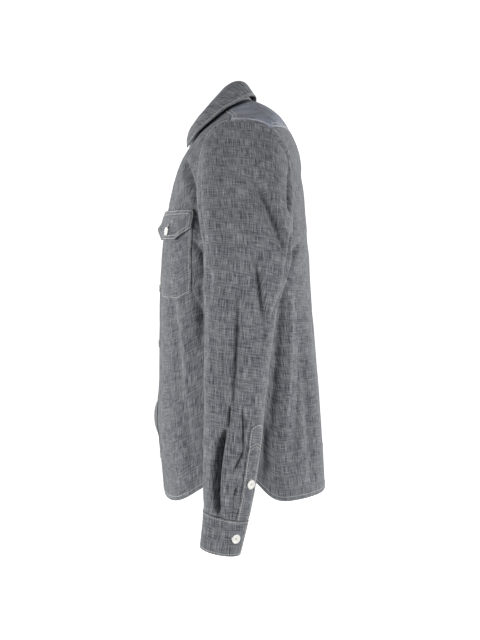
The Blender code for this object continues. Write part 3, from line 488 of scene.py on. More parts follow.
def armhole(angle):
    """The armhole as turn and run: angle 0 is at the shoulder point and a half turn is under
    the arm, by way of the back."""
    across = (1 - np.abs(np.cos(angle)) ** ARMHOLE_FULLNESS) ** (1 / ARMHOLE_FULLNESS)
    reach = np.where(np.sin(angle) > 0, ARMHOLE_BACK, ARMHOLE_FRONT)
    turn = QUARTER + np.sign(np.sin(angle)) * reach * across
    lowered = ((1 - np.cos(angle)) / 2) ** np.where(np.sin(angle) > 0, 1.0, ARMHOLE_SCYE)
    return turn, ARMHOLE_TOP + (ARMHOLE_FOOT - ARMHOLE_TOP) * lowered


def armhole_angle(turn):
    """The angle on the upper half of the armhole at which it crosses a turn."""
    reach = ARMHOLE_BACK if turn > QUARTER else ARMHOLE_FRONT
    across = abs(turn - QUARTER) / reach
    return math.acos((1 - across ** ARMHOLE_FULLNESS) ** (1 / ARMHOLE_FULLNESS))


FRONT_CORNER = armhole_angle(FRONT_SHOULDER_SEAM)
BACK_CORNER = armhole_angle(YOKE_CORNER)
FRONT_CORNER_RUN = float(armhole(np.array(-FRONT_CORNER))[1])
BACK_CORNER_RUN = float(armhole(np.array(BACK_CORNER))[1])


def back_seam_run(turn):
    """The run of the seam between yoke and back, which drops towards the armholes."""
    share = np.abs(math.pi - turn) / (math.pi - YOKE_CORNER)
    return YOKE_CENTRE_RUN + (BACK_CORNER_RUN - YOKE_CENTRE_RUN) * share ** 2


def arm_section(around, down):
    """A squared oval across the arm, tilted so that its front stands higher."""
    z = ARM_TOP - (down - CAP_DOWN)
    knots = -ARM["z"]
    x, y, half_x, half_y, tilt = (smooth_through(knots, ARM[name], -z)
                                  for name in ARM_SECTION[2:])
    cosine, sine = np.cos(around), np.sin(around)
    across = half_y * np.sign(sine) * np.abs(sine) ** ARM_ROUNDING
    out = half_x * np.sign(cosine) * np.abs(cosine) ** ARM_ROUNDING
    return np.stack([x + out, y + across, z - tilt * across], -1)


def armhole_frame(angle):
    """A point of the armhole seam and, there, the direction into the hole."""
    turn, run = armhole(angle)
    before, after = body_point(*armhole(angle - STEP)), body_point(*armhole(angle + STEP))
    inward = np.cross(after - before, normal_of(body_point, turn, run))
    return body_surface(turn, run), unit(inward)


def clear_of_edge(inward, leaving):
    """How far a sewn-on wall starts from the edge that it leaves, for the angle between them."""
    cosine = np.sum(inward * leaving, -1)
    return SEAM + CLOTH * np.sqrt(np.clip((1 - cosine) / 2, 0, 1))


def sleeve_point(around, down):
    """A sleeve's surface without creases: from the armhole seam a cubic cap to the upper arm,
    then the arm's sections."""
    around, down = together(around, down)
    part = np.clip(down / CAP_DOWN, 0, 1)[..., None]
    start, inward = armhole_frame(around)
    end = arm_section(around, np.maximum(down, CAP_DOWN))
    above = np.cos(around)
    leaving = unit(np.stack([CAP_OUT[0] + CAP_OUT[1] * above, CAP_SPREAD * np.sin(around),
                             CAP_DROP[0] + CAP_DROP[1] * above], -1))
    start = start + inward * clear_of_edge(inward, leaving)[..., None]
    reach = CAP_FULLNESS * np.linalg.norm(end - start, axis=-1, keepdims=True)
    falling = np.array([0.0, 0.0, -1.0])
    cap = hermite(part, start, reach * leaving, end, reach * falling)
    return np.where(down[..., None] < CAP_DOWN, cap, end)


def sleeve_surface(creases, seed, around, down, out=0.0):
    """The sleeve with its creases, which fade out towards the armhole seam and, but for a
    fifth, at the cuff. Its head dips and then rolls out beside the armhole seam, mostly behind,
    and its own seam runs under the arm."""
    around, down = together(around, down)
    relief = creased(around, down, creases, ARM_RADIUS)
    relief = relief + crumple(around / TURN, down / ARM_LENGTH, SLEEVE_CRUMPLE, seed)
    relief *= ease(down, 0.0, 0.05) * (1 - 0.8 * ease(down, CUFF_DOWN - 0.012, CUFF_DOWN))
    behind = np.exp(-((np.mod(around, TURN) - HEAD_AT) / HEAD_REACH) ** 2)
    roll = (0.25 + 0.75 * behind) * sum(out_by * np.exp(-((down - at) / reach) ** 2)
                                        for out_by, at, reach in (HEAD_ROLL, HEAD_DIP))
    inner = np.abs(np.mod(around, TURN) - math.pi) * ARM_RADIUS
    fell = FELL_RISE * (1 - ease(inner, 0.4 * FELL, 0.6 * FELL)) * ease(down, 0.01, 0.02)
    shift = relief + roll * ease(down, 0.0, 0.0016) + fell + out
    normal = normal_of(sleeve_point, around, np.maximum(down, 2 * STEP))
    return sleeve_point(around, down) + normal * shift[..., None]


def cuff_point(around, down, out):
    """A cuff's surface: the arm's section, moved out from the arm's middle."""
    around, down = together(around, down)
    point = arm_section(around, down)
    away = unit(point - arm_section(around + math.pi, down))
    return point + away * np.broadcast_to(out, around.shape)[..., None]


def cuff_out(degrees):
    """How far the cuff stands off its middle surface: half a lap in at its start, half out at
    its lapping end."""
    start = CUFF_END - CUFF_LAP
    return LAP * (ease(degrees, CUFF_END + 20, start + 345) - 0.5)


def leaf_point(share, fall):
    """The collar leaf: share goes from the left point round the neck to the right one, and fall
    from the fold to the edge. Each fall is a cubic Bezier curve that leaves the stand upwards,
    rolls over and comes down to the edge."""
    share, fall = together(share, fall)
    fold_from, point_from = math.radians(LEAF_FOLD_FROM), math.radians(LEAF_POINT_FROM)
    fold_turn = fold_from + (TURN - 2 * fold_from) * share
    edge_turn = point_from + (TURN - 2 * point_from) * share
    top = section(fold_turn, *STAND_TOP)
    edge = section(edge_turn, *LEAF_EDGE)
    rise = unit(top - body_point(fold_turn, 0.0))
    beyond = section(fold_turn + STEP, *STAND_TOP) - section(fold_turn - STEP, *STAND_TOP)
    away = unit(np.cross(beyond, rise))
    start = top + rise * (CLOTH / 2 + SEAM)
    lift = start + rise * LEAF_ROLL
    over = start + rise * LEAF_ROLL * 0.7 + away * LEAF_STANDS_OFF
    fall = fall[..., None]
    return ((1 - fall) ** 3 * start + 3 * (1 - fall) ** 2 * fall * lift
            + 3 * (1 - fall) * fall ** 2 * over + fall ** 3 * edge)


CHEST_TURNS = np.linspace(0, QUARTER, 200)
CHEST_RUNS = np.linspace(0.16, 0.56, 300)


def chest_turn(distance):
    """The turn at a distance round the chest from the centre front, at the pocket's height."""
    return np.interp(distance, arc_length(body_point(CHEST_TURNS, POCKET_RUN)), CHEST_TURNS)


def chest_run(turn, z):
    """The run at which the chest has a height, for each column of turns."""
    heights = body_point(turn[:, None], CHEST_RUNS[None, :])[..., 2]
    return np.array([np.interp(-z[:, i], -heights[i], CHEST_RUNS) for i in range(len(turn))]).T


# ---------------------------------------------------------------- meshes

def grid_normals(points):
    """Outward normals at a grid's points: the step down its rows crossed with the step along
    them."""
    return unit(np.cross(np.gradient(points, axis=0), np.gradient(points, axis=1)))


def grid_faces(rows, cols, closed=False):
    """The rows and the columns of the four corners of each face of a grid. A closed grid joins
    its last column to its first."""
    row, col = np.meshgrid(np.arange(rows - 1), np.arange(cols - (not closed)), indexing="ij")
    return (np.stack([row, row + 1, row + 1, row], -1).reshape(-1, 4),
            np.stack([col, col, col + 1, col + 1], -1).reshape(-1, 4))


def turned_faces(rings, sides):
    """Faces of a piece of revolution, as numbers of its points."""
    row, col = grid_faces(rings, sides, True)
    return row * sides + col % sides


def mesh_object(name, vertices, faces, material):
    """A mesh from whole arrays, as a piece of the jacket's one body."""
    mesh = bpy.data.meshes.new(name)
    corners = faces.shape[1]
    mesh.vertices.add(len(vertices))
    mesh.vertices.foreach_set("co", np.asarray(vertices, np.float32).ravel())
    mesh.loops.add(faces.size)
    mesh.loops.foreach_set("vertex_index", faces.astype(np.int32).ravel())
    mesh.polygons.add(len(faces))
    mesh.polygons.foreach_set("loop_start", np.arange(0, faces.size, corners, dtype=np.int32))
    mesh.polygons.foreach_set("use_smooth", np.ones(len(faces), bool))
    mesh.update(calc_edges=True)
    mesh.validate()
    mesh.materials.append(material)
    made = bpy.data.objects.new(name, mesh)
    bpy.context.scene.collection.objects.link(made)
    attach(made, "root")
    return made


def cloth(node, points, smooth, wall, stitched, closed=False, cross=False):
    """A cloth piece on a grid of points at mid wall, which stands for a node and rests on
    another's. Its UV map holds the distances along and across its threads in metres, measured on
    the smooth points, which are the same without creases, and so is its flat size. Its attribute
    worn is 1 at the borders named in stitched and dies off within a few millimetres. A closed
    piece joins its last column to its first, and cross turns the weave."""
    rows, cols = points.shape[:2]
    ring = np.concatenate([smooth, smooth[:, :1]], 1) if closed else smooth
    wide = ring.shape[1]
    across, down = arc_length(ring, 1), arc_length(ring)
    borders = {"top": down, "bottom": down[-1:] - down, "left": across,
               "right": across[:, -1:] - across}
    edge = np.min([borders[name] for name in stitched.split()], 0)
    worn = np.exp(-(edge[:, :cols] / WORN_REACH) ** 2)
    u = across - across[:, wide // 2:wide // 2 + 1]
    v = down[-1:] - down
    if cross:
        u, v = v, u
    corner_rows, corner_cols = grid_faces(rows, wide)
    faces = corner_rows * cols + corner_cols % cols
    slot_name = "cross_chambray" if cross else "chambray"
    made = mesh_object(node + "_cloth", points.reshape(-1, 3), faces,
                       MATERIALS[slot_name])
    weave = made.data.uv_layers.new(name="weave")
    uv = np.stack([u[corner_rows, corner_cols], v[corner_rows, corner_cols]], -1)
    weave.data.foreach_set("uv", uv.astype(np.float32).ravel())
    mark = made.data.attributes.new("worn", "FLOAT", "POINT")
    mark.data.foreach_set("value", worn.astype(np.float32).ravel())
    solid = made.modifiers.new("wall", "SOLIDIFY")
    solid.thickness = wall
    solid.offset = 0.0
    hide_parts(node)


# ---------------------------------------------------------------- stitches

class Seams:
    """Collects all the stitches of the jacket, to be joined as one mesh."""

    def __init__(self):
        self.middles, self.ways, self.ups = [], [], []

    def add(self, middle, way, up):
        self.middles.append(middle)
        self.ways.append(way)
        self.ups.append(up)

    def run_along(self, places, normals):
        """Stitches of even pitch along a line, each pulled a little into the cloth at its ends."""
        reach = arc_length(places)
        count = int(reach[-1] / STITCH_PITCH)
        if count < 1:
            return
        at = (np.arange(count) + 0.5) * reach[-1] / count

        def read(values, shift=0.0):
            return np.stack([np.interp(at + shift, reach, column) for column in values.T], -1)

        way = read(places, 0.4 * STITCH_PITCH) - read(places, -0.4 * STITCH_PITCH)
        self.add(read(places), unit(way) * STITCH_LENGTH / 2, unit(read(normals)))

    def sew(self, points, borders, insets, wall, start, end, rows=None):
        """A line of stitches at each inset inside each of a grid's borders."""
        for inset in insets:
            for border in borders.split():
                self.run_along(*inside_border(points, border, inset, wall, start, end, rows))

    def build(self, name):
        """The stitches as capsules of 6 sides and 4 rings, lying along their ways. A ring has a
        place along the stitch, a size, and a height in thread radii."""
        middles, ways, ups = (np.concatenate(parts)
                              for parts in (self.middles, self.ways, self.ups))
        sides = unit(np.cross(ways, ups))
        rings = np.array([(-1.0, 0.35, -0.7), (-0.62, 1.0, 0.25), (0.62, 1.0, 0.25),
                          (1.0, 0.35, -0.7)])
        angles = np.arange(6) * TURN / 6
        spots = (middles[:, None, None] + ways[:, None, None] * rings[None, :, None, :1]
                 + THREAD_RADIUS * rings[None, :, None, 1:2]
                 * (np.cos(angles)[None, None, :, None] * sides[:, None, None]
                    + np.sin(angles)[None, None, :, None] * ups[:, None, None])
                 + THREAD_RADIUS * rings[None, :, None, 2:3] * ups[:, None, None])
        caps = [(0, 5, 4, 3), (0, 3, 2, 1), (18, 19, 20, 21), (18, 21, 22, 23)]
        one = np.concatenate([turned_faces(4, 6)[:, ::-1], caps])
        faces = (np.arange(len(middles))[:, None, None] * 24 + one[None]).reshape(-1, 4)
        return mesh_object(name, spots.reshape(-1, 3), faces, MATERIALS["thread"])


def inside_border(points, border, inset, wall, start, end, rows=None):
    """A line on the outer face of a grid at an even distance inside one of its borders, as
    places and normals. start and end leave that much of the line out, and rows is the range of
    the border's points that it follows."""
    normals = grid_normals(points)
    if border in ("left", "right"):
        points, normals = points.transpose(1, 0, 2), normals.transpose(1, 0, 2)
    if border in ("bottom", "right"):
        points, normals = points[::-1], normals[::-1]
    if rows is not None:
        points, normals = points[:, rows], normals[:, rows]
    reach = arc_length(points)
    below = np.clip((reach < inset).sum(0) - 1, 0, len(points) - 2)
    column = np.arange(points.shape[1])
    part = ((inset - reach[below, column])
            / (reach[below + 1, column] - reach[below, column]))[:, None]
    places = points[below, column] * (1 - part) + points[below + 1, column] * part
    ups = unit(normals[below, column] * (1 - part) + normals[below + 1, column] * part)
    along = arc_length(places)
    kept = (along >= start) & (along <= along[-1] - end)
    return places[kept] + ups[kept] * (wall / 2 + 0.0001), ups[kept]


# ---------------------------------------------------------------- materials

WORN_REACH = 0.006      # metres that a washed-out edge reaches in from its border
WARP_PITCH = 0.00062    # metres from one warp thread to the next
WEFT_PITCH = 0.00058
DEEP = {"chambray": (0.046, 0.050, 0.060, 1.0), "cross_chambray": (0.078, 0.090, 0.122, 1.0)}
PALE = {"chambray": (0.420, 0.430, 0.450, 1.0), "cross_chambray": (0.580, 0.615, 0.700, 1.0)}
THREAD = (0.58, 0.57, 0.53, 1.0)
BUTTON_WHITE = (0.80, 0.79, 0.745, 1.0)


class Nodes:
    """Short ways to add and join nodes in one tree."""

    def __init__(self, tree):
        self.tree = tree

    def add(self, kind, inputs=None, **settings):
        node = self.tree.nodes.new(kind)
        for name, value in settings.items():
            setattr(node, name, value)
        for key, value in (inputs or {}).items():
            if isinstance(value, bpy.types.NodeSocket):
                self.tree.links.new(value, node.inputs[key])
            else:
                node.inputs[key].default_value = value
        return node

    def math(self, operation, *values):
        node = self.add("ShaderNodeMath", dict(enumerate(values)), operation=operation)
        return node.outputs[0]

    def spread(self, value, low, high, to_low=0.0, to_high=1.0):
        """The value from low to high, spread to a new range."""
        node = self.add("ShaderNodeMapRange", {0: value, 1: low, 2: high, 3: to_low, 4: to_high})
        return node.outputs[0]

    def noise(self, vector, scale, detail=2.0, rough=0.5):
        node = self.add("ShaderNodeTexNoise", {"Vector": vector, "Scale": scale,
                                               "Detail": detail, "Roughness": rough})
        return node.outputs["Fac"]


def woven_chambray():
    """The weave, shared by both chambrays: how pale the cloth is at each place, from 0 for the
    bare warp to 1 for the bare weft, and how high it stands in millimetres. Read from the UV
    map, which is in metres."""
    tree = bpy.data.node_groups.new("woven_chambray", "ShaderNodeTree")
    tree.interface.new_socket("Pale", in_out="OUTPUT", socket_type="NodeSocketFloat")
    tree.interface.new_socket("Height", in_out="OUTPUT", socket_type="NodeSocketFloat")
    make = Nodes(tree)
    place = make.add("ShaderNodeUVMap", uv_map="weave").outputs[0]
    split = make.add("ShaderNodeSeparateXYZ", {0: place})
    u, v = split.outputs[0], split.outputs[1]

    def stretched(along_u, along_v, shift):
        """The place with its two distances scaled, for noise drawn out along the threads."""
        return make.add("ShaderNodeCombineXYZ", {0: make.math("MULTIPLY", u, along_u),
                                                 1: make.math("MULTIPLY", v, along_v),
                                                 2: shift}).outputs[0]

    # Slubs: thicker and thinner stretches of single threads, both ways
    warp = make.noise(stretched(1050.0, 52.0, 0.0), 1.0, 1.0, 0.5)
    weft = make.noise(stretched(66.0, 1050.0, 7.3), 1.0, 1.0, 0.5)
    broad_warp = make.noise(stretched(560.0, 15.0, 3.1), 1.0, 1.0, 0.5)
    broad_weft = make.noise(stretched(18.0, 520.0, 5.7), 1.0, 1.0, 0.5)
    bright = make.spread(make.noise(stretched(45.0, 700.0, 11.9), 1.0, 1.0, 0.5), 0.66, 0.76)
    # Plain weave: over and under, as the product of two sines
    over = make.math("MULTIPLY",
                     make.math("SINE", make.math("MULTIPLY", u, math.pi / WARP_PITCH)),
                     make.math("SINE", make.math("MULTIPLY", v, math.pi / WEFT_PITCH)))
    # Washing has left the cloth uneven, and paler along its sewn edges
    wash = make.noise(place, 26.0, 3.0, 0.55)
    fine_wash = make.noise(place, 150.0, 2.0, 0.6)
    worn = make.add("ShaderNodeAttribute", attribute_name="worn").outputs["Fac"]
    worn = make.math("MULTIPLY", worn, make.spread(fine_wash, 0.38, 0.62))
    pale = make.math("ADD", 0.22, make.math("MULTIPLY", over, 0.09))
    for value, weight in ((warp, 1.15), (weft, 0.72), (broad_warp, 0.22), (broad_weft, 0.12),
                          (wash, 0.20), (fine_wash, 0.10)):
        pale = make.math("MULTIPLY_ADD", make.math("SUBTRACT", value, 0.5), weight, pale)
    pale = make.math("MULTIPLY_ADD", bright, 0.22, pale)
    pale = make.math("MULTIPLY_ADD", worn, 0.13, pale)
    pale = make.add("ShaderNodeClamp", {0: pale, 1: 0.0, 2: 1.0}).outputs[0]
    height = make.math("MULTIPLY", over, 0.05)
    for value, weight in ((warp, 0.16), (weft, 0.16), (broad_warp, 0.10), (broad_weft, 0.10),
                          (fine_wash, 0.30)):
        height = make.math("MULTIPLY_ADD", value, weight, height)
    height = make.math("MULTIPLY_ADD", worn, 0.25, height)
    out = make.add("NodeGroupOutput")
    tree.links.new(pale, out.inputs["Pale"])
    tree.links.new(height, out.inputs["Height"])
    return tree


def principled(name):
    """A material's node tree and its Principled node."""
    material = bpy.data.materials.new(name)
    material.use_nodes = True
    shader = material.node_tree.nodes["Principled BSDF"]
    return material, Nodes(material.node_tree), shader


def chambray(name, weave):
    """Cotton chambray: the weave blends warp and weft colours; a soft sheen stands for nap."""
    material, make, shader = principled(name)
    woven = make.add("ShaderNodeGroup", node_tree=weave)
    colour = make.add("ShaderNodeMix", data_type="RGBA")
    make.tree.links.new(woven.outputs["Pale"], colour.inputs["Factor"])
    colour.inputs[6].default_value = DEEP[name]
    colour.inputs[7].default_value = PALE[name]
    make.tree.links.new(colour.outputs[2], shader.inputs["Base Color"])
    bump = make.add("ShaderNodeBump", {"Strength": 0.55, "Distance": 0.0006,
                                       "Height": woven.outputs["Height"]})
    make.tree.links.new(bump.outputs[0], shader.inputs["Normal"])
    shader.inputs["Roughness"].default_value = 0.92
    shader.inputs["Specular IOR Level"].default_value = 0.18
    shader.inputs["Sheen Weight"].default_value = 0.12
    shader.inputs["Sheen Roughness"].default_value = 0.45
    return material


def thread_material():
    """Off-white cotton thread, a little uneven and fluffy."""
    material, make, shader = principled("thread")
    place = make.add("ShaderNodeTexCoord").outputs["Object"]
    tone = make.noise(place, 900.0, 2.0, 0.5)
    colour = make.add("ShaderNodeMix", data_type="RGBA")
    make.tree.links.new(make.spread(tone, 0.3, 0.7), colour.inputs["Factor"])
    colour.inputs[6].default_value = tuple(0.72 * c for c in THREAD[:3]) + (1.0,)
    colour.inputs[7].default_value = THREAD
    make.tree.links.new(colour.outputs[2], shader.inputs["Base Color"])
    bump = make.add("ShaderNodeBump", {"Strength": 0.5, "Distance": 0.0002,
                                       "Height": make.noise(place, 3200.0, 1.0)})
    make.tree.links.new(bump.outputs[0], shader.inputs["Normal"])
    shader.inputs["Roughness"].default_value = 0.8
    shader.inputs["Sheen Weight"].default_value = 0.2
    return material


def button_material():
    """Off-white turned plastic with a faint cloudiness and a soft gloss."""
    material, make, shader = principled("button")
    place = make.add("ShaderNodeTexCoord").outputs["Object"]
    tone = make.noise(place, 190.0, 3.0, 0.5)
    colour = make.add("ShaderNodeMix", data_type="RGBA")
    make.tree.links.new(make.spread(tone, 0.35, 0.65), colour.inputs["Factor"])
    colour.inputs[6].default_value = tuple(0.92 * c for c in BUTTON_WHITE[:3]) + (1.0,)
    colour.inputs[7].default_value = BUTTON_WHITE
    make.tree.links.new(colour.outputs[2], shader.inputs["Base Color"])
    bump = make.add("ShaderNodeBump", {"Strength": 0.15, "Distance": 0.0002,
                                       "Height": make.noise(place, 700.0, 2.0)})
    make.tree.links.new(bump.outputs[0], shader.inputs["Normal"])
    shader.inputs["Roughness"].default_value = 0.36
    shader.inputs["Coat Weight"].default_value = 0.25
    shader.inputs["Coat Roughness"].default_value = 0.2
    return material


WEAVE = woven_chambray()
MATERIALS = {"chambray": chambray("chambray", WEAVE),
             "cross_chambray": chambray("cross_chambray", WEAVE),
             "thread": thread_material(), "button": button_material()}


# ---------------------------------------------------------------- body panels

FRONT_ROWS = (26, 60, 130)      # down the shoulder, the armhole and the side
BAND_COLUMNS = 12
FRONT_COLUMNS = 96
BACK_ROWS = (62, 126)           # down the armhole and the side
BACK_COLUMNS = 162
YOKE_ROWS = 34
YOKE_COLUMNS = (16, 84)         # over each shoulder, and across the back
ALL_ROUND = "top bottom left right"
SEWN_ON = "bottom left right"


def mirrored(points):
    """The same points on the wearer's other side."""
    return points * [-1.0, 1.0, 1.0]


def sprung(turn, run):
    """How far the left front's edge springs forward between two lower buttons."""
    return creased(turn, run, BAND_SPRING, BODY_RADIUS)


def front_grid():
    """Turn and run of a front panel's points, in rows from the neck to the hem and columns from
    the front edge to the shoulder seam, armhole and side seam."""
    shoulder = np.linspace(0, FRONT_CORNER_RUN, FRONT_ROWS[0] + 1)
    angles = np.linspace(TURN - FRONT_CORNER, math.pi, FRONT_ROWS[1] + 1)
    hole_turn, hole_run = armhole(angles[1:])
    side = np.linspace(ARMHOLE_FOOT, float(hem_run(QUARTER)), FRONT_ROWS[2] + 1)[1:]
    turn = np.concatenate([np.full(len(shoulder), FRONT_SHOULDER_SEAM), hole_turn,
                           np.full(len(side), QUARTER)])
    run = np.concatenate([shoulder, hole_run, side])
    inset = np.where(run > ARMHOLE_FOOT - STEP, off_side(SEAM / 2, run), 0.0)
    inset = np.where(run < FRONT_CORNER_RUN + STEP, beside_shoulder_seam(run), inset)
    edge_turn, rows = turn - inset, run[:, None]
    band = turn_at_x(np.linspace(-BAND_HALF, BAND_HALF, BAND_COLUMNS + 1)[None, :], rows)
    share = np.linspace(0, 1, FRONT_COLUMNS + 1)[None, 1:]
    rest = band[:, -1:] + (edge_turn[:, None] - band[:, -1:]) * share
    turn = np.concatenate([band, rest], 1)
    drop = hem_run(turn) - hem_run(edge_turn[:, None])
    return turn, rows + drop * ease(rows, HEM_STARTS, run[-1])


def back_grid():
    """Turn and run of the back's points, from the yoke seam and the armholes to the hem."""
    angles = np.linspace(BACK_CORNER, math.pi, BACK_ROWS[0] + 1)
    hole_turn, hole_run = armhole(angles)
    side = np.linspace(ARMHOLE_FOOT, float(hem_run(QUARTER)), BACK_ROWS[1] + 1)[1:]
    edge_turn = np.concatenate([hole_turn, np.full(len(side), QUARTER)])
    edge_run = np.concatenate([hole_run, side])
    on_seam = edge_run > ARMHOLE_FOOT - STEP
    edge_turn = edge_turn + np.where(on_seam, off_side(SEAM / 2, edge_run), 0.0)
    share = np.linspace(-1, 1, BACK_COLUMNS + 1)[None, :]
    turn = math.pi + share * (math.pi - edge_turn[:, None])
    rows = edge_run[:, None]
    top = back_seam_run(math.pi - np.abs(share) * (math.pi - YOKE_CORNER)) - BACK_CORNER_RUN
    foot = hem_run(math.pi - np.abs(share) * QUARTER) - hem_run(QUARTER)
    run = rows + 1.5 * SEAM * (1 - ease(rows, BACK_CORNER_RUN, 0.30))
    run = run + top * (1 - ease(rows, BACK_CORNER_RUN, ARMHOLE_FOOT))
    return turn, run + foot * ease(rows, HEM_STARTS, edge_run[-1])


def yoke_grid():
    """Turn and run of the yoke's points, from the neck out and from one shoulder seam round to
    the other."""
    angles = np.linspace(-FRONT_CORNER, BACK_CORNER, YOKE_COLUMNS[0] + 1)
    hole_turn, hole_run = armhole(angles)
    hole_run[-1] -= SEAM
    half = YOKE_COLUMNS[1] // 2
    back_turn = np.linspace(YOKE_CORNER, math.pi, half + 1)[1:]
    turn = np.concatenate([hole_turn, back_turn])
    run = np.concatenate([hole_run, back_seam_run(back_turn) - SEAM])
    turn = np.concatenate([turn, TURN - turn[-2::-1]])
    outer = np.concatenate([run, run[-2::-1]])
    run = np.linspace(0, 1, YOKE_ROWS + 1)[:, None] * outer[None, :]
    turn = np.repeat(turn[None, :], YOKE_ROWS + 1, 0)
    turn[:, 0] += beside_shoulder_seam(run[:, 0])
    turn[:, -1] -= beside_shoulder_seam(run[:, -1])
    return turn, run


# How far inside their borders the lines of stitches run
EDGE_STITCH = 0.0022
HEM_STITCH = HEM_FOLD - 0.001
FELL_STITCHES = (0.0020, 0.0078)
YOKE_STITCHES = (0.0020, 0.0075)
BAND_STITCH = 0.0035
STAND_STITCH = 0.0025
PATCH_STITCH = 0.0045           # on the pocket and the collar leaf
FLAP_STITCHES = (EDGE_STITCH, 0.0068)
CUFF_EDGE_STITCH = 0.0030
CUFF_LAP_STITCHES = (0.0025, 0.0085)
GAUNTLET_BARS = (0.030, 0.0345)  # rows across the gauntlet, below its top

seams = Seams()
turn, run = front_grid()
FRONT = body_surface(turn, run, sprung(turn, run))
plain = body_point(turn, run)
cloth("front_left", FRONT, plain, CLOTH, "bottom right")
under = -LAP * (1 - ease(plain[..., 0], BAND_HALF, BAND_HALF + LAP_FADES))
FRONT_UNDER = body_surface(-turn, run, under)
cloth("front_right", FRONT_UNDER[:, ::-1], mirrored(plain)[:, ::-1], CLOTH,
      "bottom left")

band_turn, band_run = turn[:, :BAND_COLUMNS + 1], run[:, :BAND_COLUMNS + 1].copy()
band_run[0] += BAND_BELOW_NECK
out = CLOTH / 2 + SEAM + TRIM / 2 + sprung(band_turn, band_run)
BAND = body_surface(band_turn, band_run, out)
cloth("placket_left", BAND, body_point(band_turn, band_run), TRIM,
      "left right bottom")

turn, run = back_grid()
BACK = body_surface(turn, run)
cloth("back", BACK, body_point(turn, run), CLOTH, ALL_ROUND)

turn, run = yoke_grid()
YOKE = body_surface(turn, run)
cloth("yoke", YOKE, body_point(turn, run), CLOTH, "left right bottom", cross=True)

# Felled seams, hems and the band's edges
on_hole = slice(FRONT_ROWS[0], sum(FRONT_ROWS[:2]) + 1)
on_side = slice(sum(FRONT_ROWS[:2]), sum(FRONT_ROWS) + 1)
for shown, outer in ((FRONT, "right"), (FRONT_UNDER[:, ::-1], "left")):
    seams.sew(shown, "bottom", [HEM_STITCH], CLOTH, 0.002, 0.004)
    seams.sew(shown, outer, [EDGE_STITCH], CLOTH, 0.002, 0.004, on_hole)
    seams.sew(shown, outer, FELL_STITCHES[:1], CLOTH, 0.002, 0.004, on_side)
seams.sew(BAND, "left right", [BAND_STITCH], TRIM, 0.002, 0.003)
seams.sew(BACK, "bottom", [HEM_STITCH], CLOTH, 0.004, 0.004)
seams.sew(BACK, "left right", [EDGE_STITCH], CLOTH, 0.002, 0.002, slice(0, BACK_ROWS[0] + 1))
seams.sew(BACK, "left right", FELL_STITCHES, CLOTH, 0.004, 0.004,
          slice(BACK_ROWS[0], sum(BACK_ROWS) + 1))
past, last = YOKE_COLUMNS[0], len(YOKE[0])
seams.sew(YOKE, "left right", YOKE_STITCHES, CLOTH, 0.002, 0.002)
seams.sew(YOKE, "bottom", YOKE_STITCHES, CLOTH, 0.001, 0.001, slice(past, last - past))
for rows in (slice(0, past + 1), slice(last - past - 1, last)):
    seams.sew(YOKE, "bottom", [EDGE_STITCH], CLOTH, 0.002, 0.002, rows)


# ---------------------------------------------------------------- sleeves and cuffs

SLEEVE_ROWS = (80, 146)         # down the cap and the arm
SLEEVE_COLUMNS = 190
PLEAT_AT = math.radians(338)    # columns lie closer together round the pleat
CUFF_COLUMNS = 110
CUFF_ROWS = 18
GAUNTLET_COLUMNS = 24
GAUNTLET_ROWS = 79


def sleeve_angles():
    """Angles of the sleeve's columns from under the arm round, closest where the pleat is."""
    fine = np.linspace(math.pi, math.pi + TURN, 2000)
    density = 1 + 2.6 * np.exp(-((fine - PLEAT_AT) / math.radians(16)) ** 2)
    share = np.concatenate([[0], np.cumsum((density[1:] + density[:-1]) / 2)])
    return np.interp(np.linspace(0, share[-1], SLEEVE_COLUMNS + 1)[:-1], share, fine)


def gauntlet_middle(down):
    """Degrees round the arm at which the gauntlet's middle lies, which changes down the sleeve
    because the sleeve is twisted."""
    share = (down - GAUNTLET_DOWN) / (CUFF_DOWN - GAUNTLET_DOWN)
    return GAUNTLET_TOP + (GAUNTLET_FOOT - GAUNTLET_TOP) * share


def gauntlet_grid():
    """Around and down of the gauntlet's points, whose top is rounded."""
    share = np.linspace(-1, 1, GAUNTLET_COLUMNS + 1)
    top = GAUNTLET_DOWN + GAUNTLET_POINT * np.abs(share) ** 1.5
    rows = np.linspace(0, 1, GAUNTLET_ROWS + 1)[:, None]
    down = top[None, :] + rows * (CUFF_DOWN - SEAM - top[None, :])
    return np.radians(gauntlet_middle(down) + GAUNTLET_HALF * share[None, :]), down


